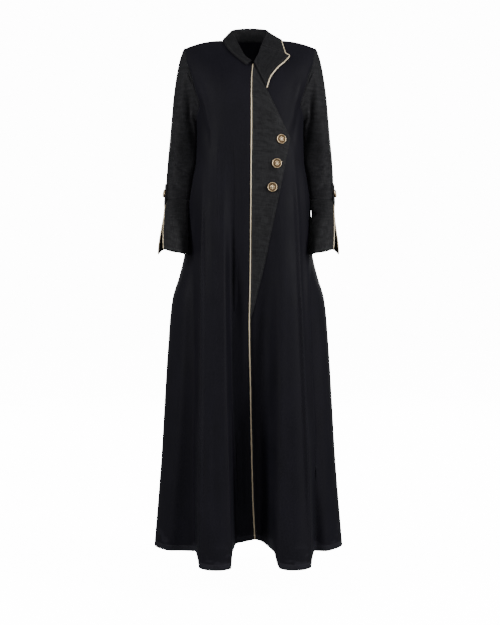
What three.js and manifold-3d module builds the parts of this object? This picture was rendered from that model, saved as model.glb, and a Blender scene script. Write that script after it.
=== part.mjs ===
// An asymmetric floor-length abaya, hollow and open as it hangs on its wearer.
// Millimetres, +Z up, the front towards -Y, the wearer's left towards +X.
// The origin is the middle of the neck base, level with the two shoulder neck points.
import * as THREE from "three";
import Module from "manifold-3d";
import { mergeVertices } from "three/addons/utils/BufferGeometryUtils.js";

const wasm = await Module();
wasm.setup();

// ---- Driving dimensions ----
const LENGTH = 1422; // shoulder neck point to hem, a 56 inch abaya
const CLOTH = 2; // wall of every cloth piece
const SEAM = 0.3; // gap left where two pieces meet
const UNDERARM_Z = -215;
const SHOULDER_HALF = 181; // centre to the padded shoulder tip
const SHOULDER_DROP = 22; // fall of the shoulder seam, neck to tip
const SHOULDER_FLAT = 80; // the seam is level this far out
const NECK_HALF = 66; // centre to a shoulder neck point
const NECK_DEPTH = 75; // shoulder neck point down to the bottom of the V
const BACK_NECK_DIP = 36; // how far down the back panel the neckline dips
const NAPE_RISE = 46; // how much the back rises towards the nape
const NAPE_SPREAD = 1.1; // how fast that rise widens down the back
const NECK_CURVE = 1.3; // superellipse power of the front neckline
const CHEST_CURVE = 1.6; // how late the chest swings forward below the shoulder
const SQUARENESS = 0.05; // 0 gives elliptical sections, more gives squarer ones
const UNDERLAP = 45; // the left front runs this far under the right front
const UNDERLAP_DEPTH = 3.2; // and lies this far inside it
const UNDERLAP_STEP = { start: 4.6, width: 14 }; // beside the centre edge it comes out again, over this
const UNDERLAP_FREE = 5; // and stays this far clear of the right front's flute
const PIPING_RADIUS = 1.7;
const PIPING_GAP = 0.4; // cloth edge to the cord beside it
const PIPING_RISE = 0.8; // the cord's middle stands this far out of the panel's face
const LEAF_PIPING_GAP = 0.75;
const SLEEVE_END_Z = -441;
const BUTTON_RADIUS = 13.5;

const ARMHOLE_ROWS = 11;
const NECK_ROWS = 6; // of those rows, the ones down to the bottom of the V
const SKIRT_ROWS = 17;
const SLEEVE_SIDES = 2 * ARMHOLE_ROWS;

// ---- Sizes down the body. h is the height on the unlifted panel ----
// halfWidth across, front and back depth from the origin's plane, side: y of the side seam,
// shift: sideways lean of the section
const BODY = [
  { h: 0, halfWidth: 186, front: 132, back: 112, side: 8, shift: 0 },
  { h: -52, halfWidth: 184, front: 132, back: 112, side: 8, shift: 0 },
  { h: -98, halfWidth: 178, front: 130, back: 112, side: 8, shift: 0 },
  { h: -155, halfWidth: 165, front: 129, back: 111, side: 8, shift: 0 },
  { h: -215, halfWidth: 150, front: 128, back: 109, side: 8, shift: 0 },
  { h: -338, halfWidth: 150.3, front: 135, back: 103, side: 0, shift: 0.2 },
  { h: -385, halfWidth: 158.5, front: 136.5, back: 103.5, side: 0, shift: -0.6 },
  { h: -441, halfWidth: 167.5, front: 138, back: 104, side: 4, shift: -1 },
  { h: -516, halfWidth: 175.5, front: 137, back: 112, side: 14, shift: -3.2 },
  { h: -590, halfWidth: 179, front: 134, back: 124, side: 18, shift: -4.5 },
  { h: -650, halfWidth: 192.5, front: 130, back: 131, side: 17, shift: -4.6 },
  { h: -720, halfWidth: 213, front: 126, back: 138, side: 16, shift: -4.8 },
  { h: -860, halfWidth: 226, front: 118, back: 150, side: 15.5, shift: -4.8 },
  { h: -1000, halfWidth: 235, front: 111, back: 162, side: 16, shift: -4.8 },
  { h: -1180, halfWidth: 246, front: 100, back: 176, side: 18, shift: -4.8 },
  { h: -1422, halfWidth: 266, front: 86, back: 192, side: 20, shift: -4.5 },
];

// x of the armhole edge down its height
const ARMHOLE = [
  { h: 0, x: SHOULDER_HALF },
  { h: -34, x: 177 },
  { h: -74, x: 171 },
  { h: -125, x: 160 },
  { h: -155, x: 152.5 },
  { h: -184, x: 145.5 },
  { h: -215, x: 150 },
];

// The two deep front flutes: x of each flute's inner and outer edge, width of its flanks, and how far
// it stands out
const FLUTES = [
  { h: 0, rightOuter: -140, rightInner: -98, leftInner: 98, leftOuter: 140, flank: 10, relief: 0 },
  { h: -215, rightOuter: -120, rightInner: -78, leftInner: 80, leftOuter: 118, flank: 12, relief: 0 },
  { h: -340, rightOuter: -124, rightInner: -72, leftInner: 84, leftOuter: 113, flank: 22, relief: 1 },
  { h: -516, rightOuter: -126, rightInner: -70, leftInner: 88, leftOuter: 120, flank: 30, relief: 11 },
  { h: -700, rightOuter: -126, rightInner: -69, leftInner: 89, leftOuter: 132, flank: 30, relief: 27 },
  { h: -925, rightOuter: -127, rightInner: -67, leftInner: 87, leftOuter: 146, flank: 27, relief: 55 },
  { h: -1180, rightOuter: -134, rightInner: -57, leftInner: 79, leftOuter: 156, flank: 22, relief: 93 },
  { h: -1422, rightOuter: -136, rightInner: -50, leftInner: 74, leftOuter: 163, flank: 17, relief: 136 },
];

const FLUTE_CROWN = 0.07; // a flute's edges stand this much less than its middle

// Softer ridges: x where each starts and at the hem, its half-width, its relief at the hem, its top
const RIDGES = [
  { half: "front", xTop: 148, xHem: 212, halfWidth: 24, relief: 17, start: -560 },
  { half: "front", xTop: -158, xHem: -226, halfWidth: 26, relief: 13, start: -620 },
  { half: "back", xTop: -92, xHem: -176, halfWidth: 40, relief: 34, start: -430 },
  { half: "back", xTop: -30, xHem: -62, halfWidth: 36, relief: 46, start: -380 },
  { half: "back", xTop: 38, xHem: 58, halfWidth: 34, relief: 38, start: -400 },
  { half: "back", xTop: 98, xHem: 168, halfWidth: 42, relief: 42, start: -460 },
];

// How far the hem rises: in the front valley and its fall away from centreX, and at the sides. The back
// hem is level this far out
const HEM_LIFT = { centre: 44, centreX: 12, fall: 0.22, sides: 11, backLevel: 150 };

// x of the right front's centre edge
const CENTRE_EDGE = [
  { h: -75, x: 6.5 },
  { h: -118, x: 3 },
  { h: -284, x: 2 },
  { h: -446, x: 0.8 },
  { h: -662, x: -1.1 },
  { h: -800, x: -3.8 },
  { h: -987, x: -0.5 },
  { h: -1206, x: 3.8 },
  { h: -1317, x: 6.8 },
  { h: -1422, x: 11.5 },
];

// The overlap flap's corners, x across and z up
const FLAP_APEX = { x: 107.8, z: -279.2 };
const FLAP_LOWER_EDGE = [
  { x: 102.3, z: -306.3 },
  { x: 86, z: -392.8 },
  { x: 64.5, z: -497.7 },
  { x: 43, z: -605.2 },
  { x: 8.1, z: -750.7 },
];
const FLAP_TOP_Z = -76;
const FLAP_TIP_Z = -772;
const FLAP_SETBACK = 2.6; // centre edge to the flap, less the piping's radius
const FLAP_CUTTER_DEPTH = 400;

// Sections of the collar and the lapel, by station round the neck seam: 0 is the right front's V
// corner, 6 its shoulder point, 10 the nape, 14 the left shoulder point and 20 the left V corner.
// roll is the fold line, edge the leaf's edge as x and h on the panel that it lies over
const COLLAR = [
  { station: 0.3, rollX: 5, rollY: -88, rollZ: -69, edgeX: -9, edgeH: -81 },
  { station: 1, rollX: -13, rollY: -70, rollZ: -54, edgeX: -35, edgeH: -59 },
  { station: 2, rollX: -25, rollY: -52, rollZ: -32, edgeX: -53, edgeH: -41 },
  { station: 3, rollX: -36, rollY: -33, rollZ: -10, edgeX: -64, edgeH: -26 },
  { station: 4, rollX: -44, rollY: -15, rollZ: 8, edgeX: -70, edgeH: -15 },
  { station: 5, rollX: -50, rollY: -2, rollZ: 19, edgeX: -73, edgeH: -7 },
  { station: 6, rollX: -53, rollY: 10, rollZ: 25, edgeX: -75, edgeH: -1.5 },
  { station: 7, rollX: -47, rollY: 25, rollZ: 31, edgeX: -73, edgeH: -17 },
  { station: 8, rollX: -34, rollY: 36, rollZ: 35, edgeX: -55, edgeH: -37 },
  { station: 10, rollX: 0, rollY: 43, rollZ: 38, edgeX: 0, edgeH: -50 },
  { station: 12, rollX: 34, rollY: 36, rollZ: 35, edgeX: 58, edgeH: -37 },
  { station: 13, rollX: 46, rollY: 25, rollZ: 31, edgeX: 79, edgeH: -17 },
  { station: 14, rollX: 50, rollY: 10, rollZ: 25, edgeX: 85.5, edgeH: -1.5 },
  { station: 15, rollX: 48.5, rollY: -2, rollZ: 20, edgeX: 86.5, edgeH: -7 },
  { station: 16, rollX: 44.5, rollY: -16, rollZ: 10, edgeX: 88, edgeH: -16 },
  { station: 17, rollX: 39, rollY: -33, rollZ: -4, edgeX: 91.7, edgeH: -29.5 },
  { station: 18, rollX: 32, rollY: -49, rollZ: -21, edgeX: 95.4, edgeH: -45 },
];
const LAPEL = [
  { station: 18.06, rollX: 31.6, rollY: -50, rollZ: -22, edgeX: 96, edgeH: -45.8 },
  { station: 18.22, rollX: 30.6, rollY: -52, rollZ: -24.5, edgeX: 101, edgeH: -47.4 },
  { station: 18.42, rollX: 29.4, rollY: -55, rollZ: -29, edgeX: 106.8, edgeH: -50.3 },
  { station: 18.75, rollX: 26.6, rollY: -61, rollZ: -37, edgeX: 92.5, edgeH: -69.7 },
  { station: 19, rollX: 23.6, rollY: -67, rollZ: -46, edgeX: 78.2, edgeH: -82.5 },
  { station: 19.35, rollX: 19, rollY: -74, rollZ: -55, edgeX: 64.1, edgeH: -99.1 },
  { station: 19.7, rollX: 14.5, rollY: -80, rollZ: -64, edgeX: 52.8, edgeH: -117 },
  { station: 19.93, rollX: 11, rollY: -86, rollZ: -70, edgeX: 44.4, edgeH: -144.5 },
];
const NECK_SEAM_GAP = 0.6; // the neck seam turns sharply, so it takes a wider gap
const LEAF_CLEARANCE = 3.6; // panel face to the middle of the leaf's cloth
const FALL_CLEARANCE = 3; // more where the leaf leaves its roll
const SHOULDER_CLEARANCE = 5; // more where the leaf crosses a shoulder seam
const SHOULDER_STATIONS = [6.6, 13.4];
const ROLL_RADIUS = 1.7;
const ROLL_DROP = 1.3; // in roll radii, from the top of the roll to where its sides are straight
const FALL_STEPS = [0.33, 0.68]; // of the way from the roll to the leaf's edge

// Level sections of a sleeve and its cuff: inner and outer x on the wearer's left, the shift of both
// sleeves towards the wearer's left, y of the middle, half the depth
const SLEEVE = [
  { z: -262, inner: 150.1, outer: 224, shift: 0, middle: 26, halfDepth: 60 },
  { z: -338, inner: 148.5, outer: 231.5, shift: 0, middle: 37, halfDepth: 57 },
  { z: -398, inner: 160, outer: 235, shift: -0.7, middle: 31, halfDepth: 55 },
  { z: SLEEVE_END_Z, inner: 168.3, outer: 236, shift: -1.1, middle: 10, halfDepth: 54 },
  { z: -480, inner: 172, outer: 236.5, shift: -2, middle: -20, halfDepth: 53 },
  { z: -516, inner: 173, outer: 237, shift: -3.2, middle: -42, halfDepth: 52 },
  { z: -600, inner: 173.6, outer: 236, shift: -4.4, middle: -68, halfDepth: 54 },
];
const ARMHOLE_GAP = 0.4;
const CAP_STEPS = [0, 0.1, 0.22, 0.38, 0.56, 0.78, 1]; // armhole to the first level section
// The padded head leaves the shoulder this way, and reaches the first level section with this lean.
// It fades out by this turn round from the outside
const CAP_KICK = { x: 70, y: 14, z: -60, lean: 20, fade: 2.1 };
const SLEEVE_RINGS = [-300, -338, -370, -398, -420, SLEEVE_END_Z];
// Heights of a cuff's lower edge; its back edge stands out this far at the slit, fading over flareTurn
const CUFF = { frontEnd: -578, innerEnd: -596, backEnd: -592, rows: 5, flare: 3, flareTurn: 0.6 };
const SLIT = { turn: 0.42, top: 0.05, bottom: 0.22 }; // turned to the front, and its half-angle
// Heights of the tab, its gap to the sleeve, and what is left of its width at the point
const TAB = { top: -398, shoulder: -445, point: -460, offset: 0.9, blunt: 0.12 };
const CUFF_BUTTON = { z: -424, radius: 11.5 };

const FRONT_BUTTONS = [
  { x: 83.1, z: -282.6 },
  { x: 71.2, z: -348.4 },
  { x: 60.2, z: -412.3 },
];
const BUTTON_SEAT = 0.6; // cloth to the back of a button

const COLOURS = { crepe: 0x1b1a1f, weave: 0x242427, piping: 0xc9b98c, brass: 0xa8853f };

// ---- Curves ----
const smooth = (t) => {
  const c = Math.min(1, Math.max(0, t));
  return c * c * (3 - 2 * c);
};
const mix = (a, b, t) => a + (b - a) * t;
const vec = (x, y, z) => new THREE.Vector3(x, y, z);

// A column of a table, as a smooth curve through its rows
function along(rows, key, column, at) {
  const sense = Math.sign(rows[1][key] - rows[0][key]);
  let i = rows.findIndex((row, n) => n > 0 && sense * at <= sense * row[key]);
  if (i < 0) i = rows.length - 1;
  const slope = (n) => {
    const a = rows[Math.max(0, n - 1)];
    const b = rows[Math.min(rows.length - 1, n + 1)];
    return (b[column] - a[column]) / (b[key] - a[key]);
  };
  const [p, q] = [rows[i - 1], rows[i]];
  const span = q[key] - p[key];
  const t = Math.min(1, Math.max(0, (at - p[key]) / span));
  const [t2, t3] = [t * t, t * t * t];
  return (
    (2 * t3 - 3 * t2 + 1) * p[column] +
    (t3 - 2 * t2 + t) * span * slope(i - 1) +
    (3 * t2 - 2 * t3) * q[column] +
    (t3 - t2) * span * slope(i)
  );
}
const body = (column, h) => along(BODY, "h", column, h);
const flute = (column, h) => along(FLUTES, "h", column, h);
const centreEdge = (h) => along(CENTRE_EDGE, "h", "x", Math.min(h, CENTRE_EDGE[0].h));
const armhole = (h) => along(ARMHOLE, "h", "x", h);

// ---- The body's surface ----
// angle: 0 at the centre front, a quarter turn at the wearer's left side seam
const across = (angle) => (Math.sin(angle) + SQUARENESS * Math.sin(3 * angle)) / (1 - SQUARENESS);
const forward = (angle) => (Math.cos(angle) - SQUARENESS * Math.cos(3 * angle)) / (1 - SQUARENESS);

function angleAt(x, h, half) {
  const wanted = Math.min(1, Math.abs(x - body("shift", h)) / body("halfWidth", h));
  let [low, high] = [0, Math.PI / 2];
  for (let n = 0; n < 40; n++) {
    const middle = (low + high) / 2;
    if (across(middle) < wanted) low = middle;
    else high = middle;
  }
  const angle = half === "front" ? low : Math.PI - low;
  return x < body("shift", h) ? -angle : angle;
}

function shoulderRise(x, h, half) {
  const out = Math.max(0, Math.abs(x) - SHOULDER_FLAT) / (SHOULDER_HALF - SHOULDER_FLAT);
  const nape = Math.max(0, 1 - (x / (NECK_HALF - NAPE_SPREAD * Math.min(0, h))) ** 2);
  return (half === "back" ? NAPE_RISE * nape ** 1.5 : 0) - SHOULDER_DROP * out * out;
}

// 1 on top of a flute, 0 clear of it
function fluteShape(x, inner, outer, flank) {
  const [low, high] = [Math.min(inner, outer), Math.max(inner, outer)];
  const inside = Math.min(1, Math.max(0, (x - low) / (high - low)));
  const crown = 1 - FLUTE_CROWN * (1 - Math.sin(Math.PI * inside));
  return crown * smooth((x - low + flank) / flank) * smooth((high + flank - x) / flank);
}

function flutes(x, h) {
  const flank = flute("flank", h);
  return (
    fluteShape(x, flute("rightInner", h), flute("rightOuter", h), flank) +
    fluteShape(x, flute("leftInner", h), flute("leftOuter", h), flank)
  );
}

function ridges(x, h, half) {
  let total = 0;
  for (const ridge of RIDGES.filter((r) => r.half === half)) {
    const down = Math.max(0, (ridge.start - h) / (ridge.start + LENGTH));
    const away = (x - mix(ridge.xTop, ridge.xHem, down)) / ridge.halfWidth;
    total += ridge.relief * down ** 1.3 * Math.exp(-away * away);
  }
  return total;
}

function hemLift(x, h, half) {
  const down = Math.max(0, (UNDERARM_Z - h) / (UNDERARM_Z + LENGTH));
  if (half === "back") return HEM_LIFT.sides * smooth(Math.abs(x) / HEM_LIFT.backLevel - 1) * down ** 3;
  const onFlute = Math.min(1, flutes(x, h));
  const inValley = x > flute("rightInner", h) && x < flute("leftInner", h);
  const valley = HEM_LIFT.centre - HEM_LIFT.fall * Math.abs(x - HEM_LIFT.centreX);
  return (1 - onFlute) * (inValley ? valley : HEM_LIFT.sides) * down ** 3;
}

function surface(angle, h) {
  const half = Math.abs(angle) <= Math.PI / 2 ? "front" : "back";
  const x = body("shift", h) + body("halfWidth", h) * across(angle);
  const high = Math.max(0, 1 - h / UNDERARM_Z); // 1 at the shoulder, 0 from the underarm down
  const swing = (1 - high * high) ** (CHEST_CURVE / 2);
  const side = body("side", h);
  const ahead = forward(angle);
  if (half === "front") {
    const folds = flute("relief", h) * flutes(x, h) + ridges(x, h, half);
    const y = side - (body("front", h) + side) * ahead * swing - folds;
    return vec(x, y, h + high * shoulderRise(x, h, half) + hemLift(x, h, half));
  }
  const y = side - (body("back", h) - side) * ahead * swing + ridges(x, h, half);
  return vec(x, y, h + high * shoulderRise(x, h, half) + hemLift(x, h, half));
}
const onBody = (x, h, half) => surface(angleAt(x, h, half), h);

// Outward normal of the surface
function normalOn(x, h, half) {
  if (h > -1) {
    const rise = (shoulderRise(x + 1, h, "front") - shoulderRise(x - 1, h, "front")) / 2;
    return vec(-rise, 0, 1).normalize();
  }
  const angle = angleAt(x, h, half);
  const turn = 0.004;
  const acrossward = surface(angle + turn, h).sub(surface(angle - turn, h));
  const upward = surface(angle, h + 1).sub(surface(angle, h - 1));
  return acrossward.cross(upward).normalize();
}
const off = (x, h, half, distance) =>
  onBody(x, h, half).addScaledVector(normalOn(x, h, half), distance);

// ---- Cloth walls from a grid of outer points ----
// Each point moved in by the cloth, square to the faces round it. A ring's columns join up.
function insideOf(outer, ring, thickness = CLOTH) {
  const [rows, columns] = [outer.length, outer[0].length];
  return outer.map((row, i) =>
    row.map((point, j) => {
      const normals = [];
      for (const [di, dj] of [[1, 1], [1, -1], [-1, -1], [-1, 1]]) {
        const i2 = i + di;
        const j2 = ring ? (j + dj + columns) % columns : j + dj;
        if (i2 < 0 || i2 >= rows || j2 < 0 || j2 >= columns) continue;
        const down = outer[i2][j].clone().sub(point).multiplyScalar(di);
        const side = outer[i][j2].clone().sub(point).multiplyScalar(dj);
        const normal = down.cross(side);
        if (normal.length() > 1e-9) normals.push(normal.normalize());
      }
      const mean = normals.reduce((sum, n) => sum.add(n), vec(0, 0, 0)).normalize();
      const square = Math.max(0.45, Math.min(...normals.map((n) => n.dot(mean))));
      return point.clone().addScaledVector(mean, -thickness / square);
    }),
  );
}

// A closed mesh between two grids with the same rows and columns
function wall(outer, inner, ring = false) {
  const [rows, columns] = [outer.length, outer[0].length];
  const positions = [...outer, ...inner].flatMap((row) => row.flatMap((p) => p.toArray()));
  const index = [];
  const id = (layer, i, j) => (layer * rows + i) * columns + (j % columns);
  const quad = (a, b, c, d) => index.push(a, b, c, a, c, d);
  const cells = ring ? columns : columns - 1;
  for (let i = 0; i < rows - 1; i++)
    for (let j = 0; j < cells; j++) {
      quad(id(0, i, j), id(0, i + 1, j), id(0, i + 1, j + 1), id(0, i, j + 1));
      quad(id(1, i, j), id(1, i, j + 1), id(1, i + 1, j + 1), id(1, i + 1, j));
    }
  for (let j = 0; j < cells; j++) {
    quad(id(0, 0, j), id(0, 0, j + 1), id(1, 0, j + 1), id(1, 0, j));
    quad(id(0, rows - 1, j + 1), id(0, rows - 1, j), id(1, rows - 1, j), id(1, rows - 1, j + 1));
  }
  if (!ring)
    for (let i = 0; i < rows - 1; i++) {
      quad(id(0, i + 1, 0), id(0, i, 0), id(1, i, 0), id(1, i + 1, 0));
      const j = columns - 1;
      quad(id(0, i, j), id(0, i + 1, j), id(1, i + 1, j), id(1, i, j));
    }
  return new THREE.BufferGeometry()
    .setAttribute("position", new THREE.Float32BufferAttribute(positions, 3))
    .setIndex(index);
}

const solidOf = (geometry) => {
  const plain = geometry.index ? geometry.toNonIndexed() : geometry.clone();
  plain.deleteAttribute("normal");
  plain.deleteAttribute("uv");
  const merged = mergeVertices(plain, 1e-4);
  return new wasm.Manifold(
    new wasm.Mesh({
      numProp: 3,
      vertProperties: merged.attributes.position.array,
      triVerts: new Uint32Array(merged.index.array),
    }),
  );
};
const geometryOf = (solid) => {
  const mesh = solid.getMesh();
  return new THREE.BufferGeometry()
    .setAttribute("position", new THREE.Float32BufferAttribute(mesh.vertProperties, 3))
    .setIndex([...mesh.triVerts]);
};

// ---- The three panels ----
// Heights of the panel rows: even turns over the shoulder, then even steps down the skirt
const neckTurn = Math.acos(1 - NECK_DEPTH / -UNDERARM_Z);
const turns = Array.from({ length: ARMHOLE_ROWS + 1 }, (_, i) =>
  i <= NECK_ROWS
    ? (neckTurn * i) / NECK_ROWS
    : mix(neckTurn, Math.PI / 2, (i - NECK_ROWS) / (ARMHOLE_ROWS - NECK_ROWS)),
);
const ROW_HEIGHTS = [
  ...turns.map((turn) => UNDERARM_Z * (1 - Math.cos(turn))),
  ...Array.from({ length: SKIRT_ROWS }, (_, i) => mix(UNDERARM_Z, -LENGTH, (i + 1) / SKIRT_ROWS)),
];

// x of the front neck edge; side is -1 for the wearer's right and 1 for the left
function neckEdge(h, side) {
  const middle = CENTRE_EDGE[0].x;
  const out = (1 - Math.min(1, -h / NECK_DEPTH) ** NECK_CURVE) ** (1 / NECK_CURVE);
  return middle + side * (NECK_HALF - side * middle) * out;
}
const sideEdge = (h, side) =>
  side * (h >= UNDERARM_Z ? armhole(h) : body("halfWidth", h) + side * body("shift", h));

// Columns set out between named lines of a panel, each with its number of cells
function between(lines) {
  const columns = [lines[0].x];
  for (let n = 1; n < lines.length; n++)
    for (let k = 1; k <= lines[n].cells; k++)
      columns.push(mix(lines[n - 1].x, lines[n].x, k / lines[n].cells));
  return columns;
}

const rightFrontColumns = (h, row) =>
  between([
    { x: sideEdge(h, -1) },
    { x: flute("rightOuter", h) - flute("flank", h), cells: 6 },
    { x: flute("rightOuter", h), cells: 2 },
    { x: flute("rightInner", h), cells: 4 },
    { x: flute("rightInner", h) + flute("flank", h), cells: 2 },
    { x: row < NECK_ROWS ? neckEdge(h, -1) : centreEdge(h), cells: 3 },
  ]);

const LEFT_UNDERLAP_CELLS = 2;
function leftFrontColumns(h, row) {
  const neck = row <= NECK_ROWS;
  const inner = neck ? neckEdge(h, 1) : centreEdge(h);
  const clearOfFlute = flute("rightInner", h) + flute("flank", h) + UNDERLAP_FREE;
  const reach = row === NECK_ROWS + 1 ? UNDERLAP / 2 : UNDERLAP;
  return between([
    { x: neck ? inner : Math.max(inner - reach, clearOfFlute) },
    { x: neck ? inner + UNDERLAP_FREE : inner, cells: LEFT_UNDERLAP_CELLS },
    { x: flute("leftInner", h) - flute("flank", h), cells: 5 },
    { x: flute("leftInner", h), cells: 2 },
    { x: flute("leftOuter", h), cells: 4 },
    { x: flute("leftOuter", h) + flute("flank", h), cells: 2 },
    { x: sideEdge(h, 1), cells: 6 },
  ]);
}

// The left front dips under the right front beside the centre edge
function underlapDepth(x, h, row) {
  if (row < NECK_ROWS) return 0;
  const out = smooth((x - centreEdge(h) - UNDERLAP_STEP.start) / UNDERLAP_STEP.width);
  return UNDERLAP_DEPTH * (1 - out);
}

function frontPanel(columns, depth) {
  const outer = ROW_HEIGHTS.map((h, row) =>
    columns(h, row).map((x) => off(x, h, "front", -depth(x, h, row))),
  );
  return { outer, inner: insideOf(outer, false) };
}
const rightFront = frontPanel(rightFrontColumns, () => 0);
const leftFront = frontPanel(leftFrontColumns, underlapDepth);

// The back runs from the wearer's left to the right. Its middle cells end at the back neckline
const BACK_CELLS = { shoulder: 8, neck: 8 };
const backColumnCount = 2 * BACK_CELLS.shoulder + BACK_CELLS.neck + 1;
const backTop = between([
  { x: SHOULDER_HALF },
  { x: NECK_HALF, cells: BACK_CELLS.shoulder },
  { x: -NECK_HALF, cells: BACK_CELLS.neck },
  { x: -SHOULDER_HALF, cells: BACK_CELLS.shoulder },
]);
function backPoint(row, column) {
  const top = backTop[column];
  const dip = -BACK_NECK_DIP * Math.sqrt(Math.max(0, 1 - (top / NECK_HALF) ** 2));
  const angle = (0.5 - column / (backColumnCount - 1)) * Math.PI;
  if (row > ARMHOLE_ROWS) {
    const h = ROW_HEIGHTS[row];
    return { x: body("shift", h) + body("halfWidth", h) * across(angle), h };
  }
  const topTurn = Math.acos(1 - dip / UNDERARM_Z);
  const turn = mix(topTurn, Math.PI / 2, row / ARMHOLE_ROWS);
  const h = dip === 0 ? ROW_HEIGHTS[row] : UNDERARM_Z * (1 - Math.cos(turn));
  const spread = mix(top / SHOULDER_HALF, across(angle), row / ARMHOLE_ROWS);
  return { x: spread * armhole(ROW_HEIGHTS[row]), h };
}
const back = {};
back.outer = ROW_HEIGHTS.map((_, row) =>
  backTop.map((_, column) => {
    const { x, h } = backPoint(row, column);
    return onBody(x, h, "back");
  }),
);
back.inner = insideOf(back.outer, false);

// Where panels meet, their walls end square to the one surface, a seam's gap apart
function squareEnd(panel, i, j, x, h, half, away) {
  const outer = panel.outer[i][j].addScaledVector(away, SEAM / 2);
  panel.inner[i][j] = outer.clone().addScaledVector(normalOn(x, h, half), -CLOTH);
}
const lastBack = backColumnCount - 1;
const lastLeft = leftFront.outer[0].length - 1;
const toFront = vec(0, -1, 0);
const toBack = vec(0, 1, 0);
ROW_HEIGHTS.forEach((h, i) => {
  squareEnd(rightFront, i, 0, sideEdge(h, -1), h, "front", toFront);
  squareEnd(leftFront, i, lastLeft, sideEdge(h, 1), h, "front", toFront);
  squareEnd(back, i, lastBack, sideEdge(h, -1), h, "back", toBack);
  squareEnd(back, i, 0, sideEdge(h, 1), h, "back", toBack);
});
rightFront.outer[0].slice(1).forEach((point, j) => {
  squareEnd(rightFront, 0, j + 1, point.x, 0, "front", toFront);
});
leftFront.outer[0].slice(0, -1).forEach((point, j) => {
  squareEnd(leftFront, 0, j, point.x, 0, "front", toFront);
});
backTop.forEach((x, j) => {
  const onShoulder = j > 0 && j < lastBack && Math.abs(x) >= NECK_HALF;
  if (onShoulder) squareEnd(back, 0, j, x, 0, "back", toBack);
});

const group = new THREE.Group();
const materials = {
  crepe: new THREE.MeshStandardMaterial({ color: COLOURS.crepe, roughness: 0.85 }),
  weave: new THREE.MeshStandardMaterial({ color: COLOURS.weave, roughness: 0.9 }),
  piping: new THREE.MeshStandardMaterial({ color: COLOURS.piping, roughness: 0.5, metalness: 0.3 }),
  brass: new THREE.MeshStandardMaterial({ color: COLOURS.brass, roughness: 0.35, metalness: 1 }),
};
function add(name, geometry, material) {
  const mesh = new THREE.Mesh(geometry, materials[material]);
  mesh.name = name;
  group.add(mesh);
  return mesh;
}
add("front_right", wall(rightFront.outer, rightFront.inner), "crepe");
add("front_left", wall(leftFront.outer, leftFront.inner), "crepe");
add("back", wall(back.outer, back.inner), "crepe");

// ---- The overlap flap: the left front's own points moved out, cut to the flap's outline ----
const flapLeft = (z) => centreEdge(z) + FLAP_SETBACK + PIPING_RADIUS;
const flapOutline = new THREE.Shape();
flapOutline.moveTo(flapLeft(FLAP_TOP_Z), FLAP_TOP_Z);
for (const h of ROW_HEIGHTS.filter((height) => height < FLAP_TOP_Z && height > FLAP_TIP_Z))
  flapOutline.lineTo(flapLeft(h), h);
flapOutline.lineTo(flapLeft(FLAP_TIP_Z), FLAP_TIP_Z);
for (const corner of [...FLAP_LOWER_EDGE].reverse()) flapOutline.lineTo(corner.x, corner.z);
flapOutline.lineTo(FLAP_APEX.x, FLAP_APEX.z);
flapOutline.closePath();
const flapCutter = new THREE.ExtrudeGeometry(flapOutline, {
  depth: FLAP_CUTTER_DEPTH,
  bevelEnabled: false,
});
flapCutter.rotateX(Math.PI / 2); // the outline stands up, cut from the front back to the middle plane
const flapRows = [NECK_ROWS - 1, ROW_HEIGHTS.findIndex((h) => h < FLAP_TIP_Z) + 1];
const flapColumns = [LEFT_UNDERLAP_CELLS - 1, lastLeft - 6];
const block = (grid) => grid.slice(...flapRows).map((row) => row.slice(...flapColumns));
const flapBlock = wall(
  block(insideOf(leftFront.outer, false, -SEAM - CLOTH)),
  block(insideOf(leftFront.outer, false, -SEAM)),
);
add("flap", geometryOf(solidOf(flapBlock).intersect(solidOf(flapCutter))), "weave");

// ---- Collar and lapel ----
// The neck seam, right V corner to left V corner: the panels' own edge points, outside and inside
const neckSeam = [];
const rightEdge = rightFront.outer[0].length - 1;
for (let i = NECK_ROWS; i >= 0; i--)
  neckSeam.push([rightFront.outer[i][rightEdge], rightFront.inner[i][rightEdge]]);
for (let j = lastBack - BACK_CELLS.shoulder - 1; j > BACK_CELLS.shoulder; j--)
  neckSeam.push([back.outer[0][j], back.inner[0][j]]);
for (let i = 0; i <= NECK_ROWS; i++)
  neckSeam.push([leftFront.outer[i][0], leftFront.inner[i][0]]);

// A point of the neck seam, moved off the panel's edge by the seam's gap
function neckSeamAt(station) {
  const n = Math.min(neckSeam.length - 2, Math.floor(station));
  const run = neckSeam[n + 1][0].clone().sub(neckSeam[n][0]);
  const [outer, inner] = [0, 1].map((side) =>
    neckSeam[n][side].clone().lerp(neckSeam[n + 1][side], station - n),
  );
  const away = run.cross(outer.clone().sub(inner)).setLength(NECK_SEAM_GAP);
  return { outer: outer.add(away), inner: inner.add(away) };
}

// The panel height h whose point stands at z
function heightOn(x, z, half) {
  let h = z;
  for (let n = 0; n < 8; n++) {
    const high = Math.max(0, 1 - Math.min(0, h) / UNDERARM_Z);
    h = z - high * shoulderRise(x, h, half);
  }
  return h;
}

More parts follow.
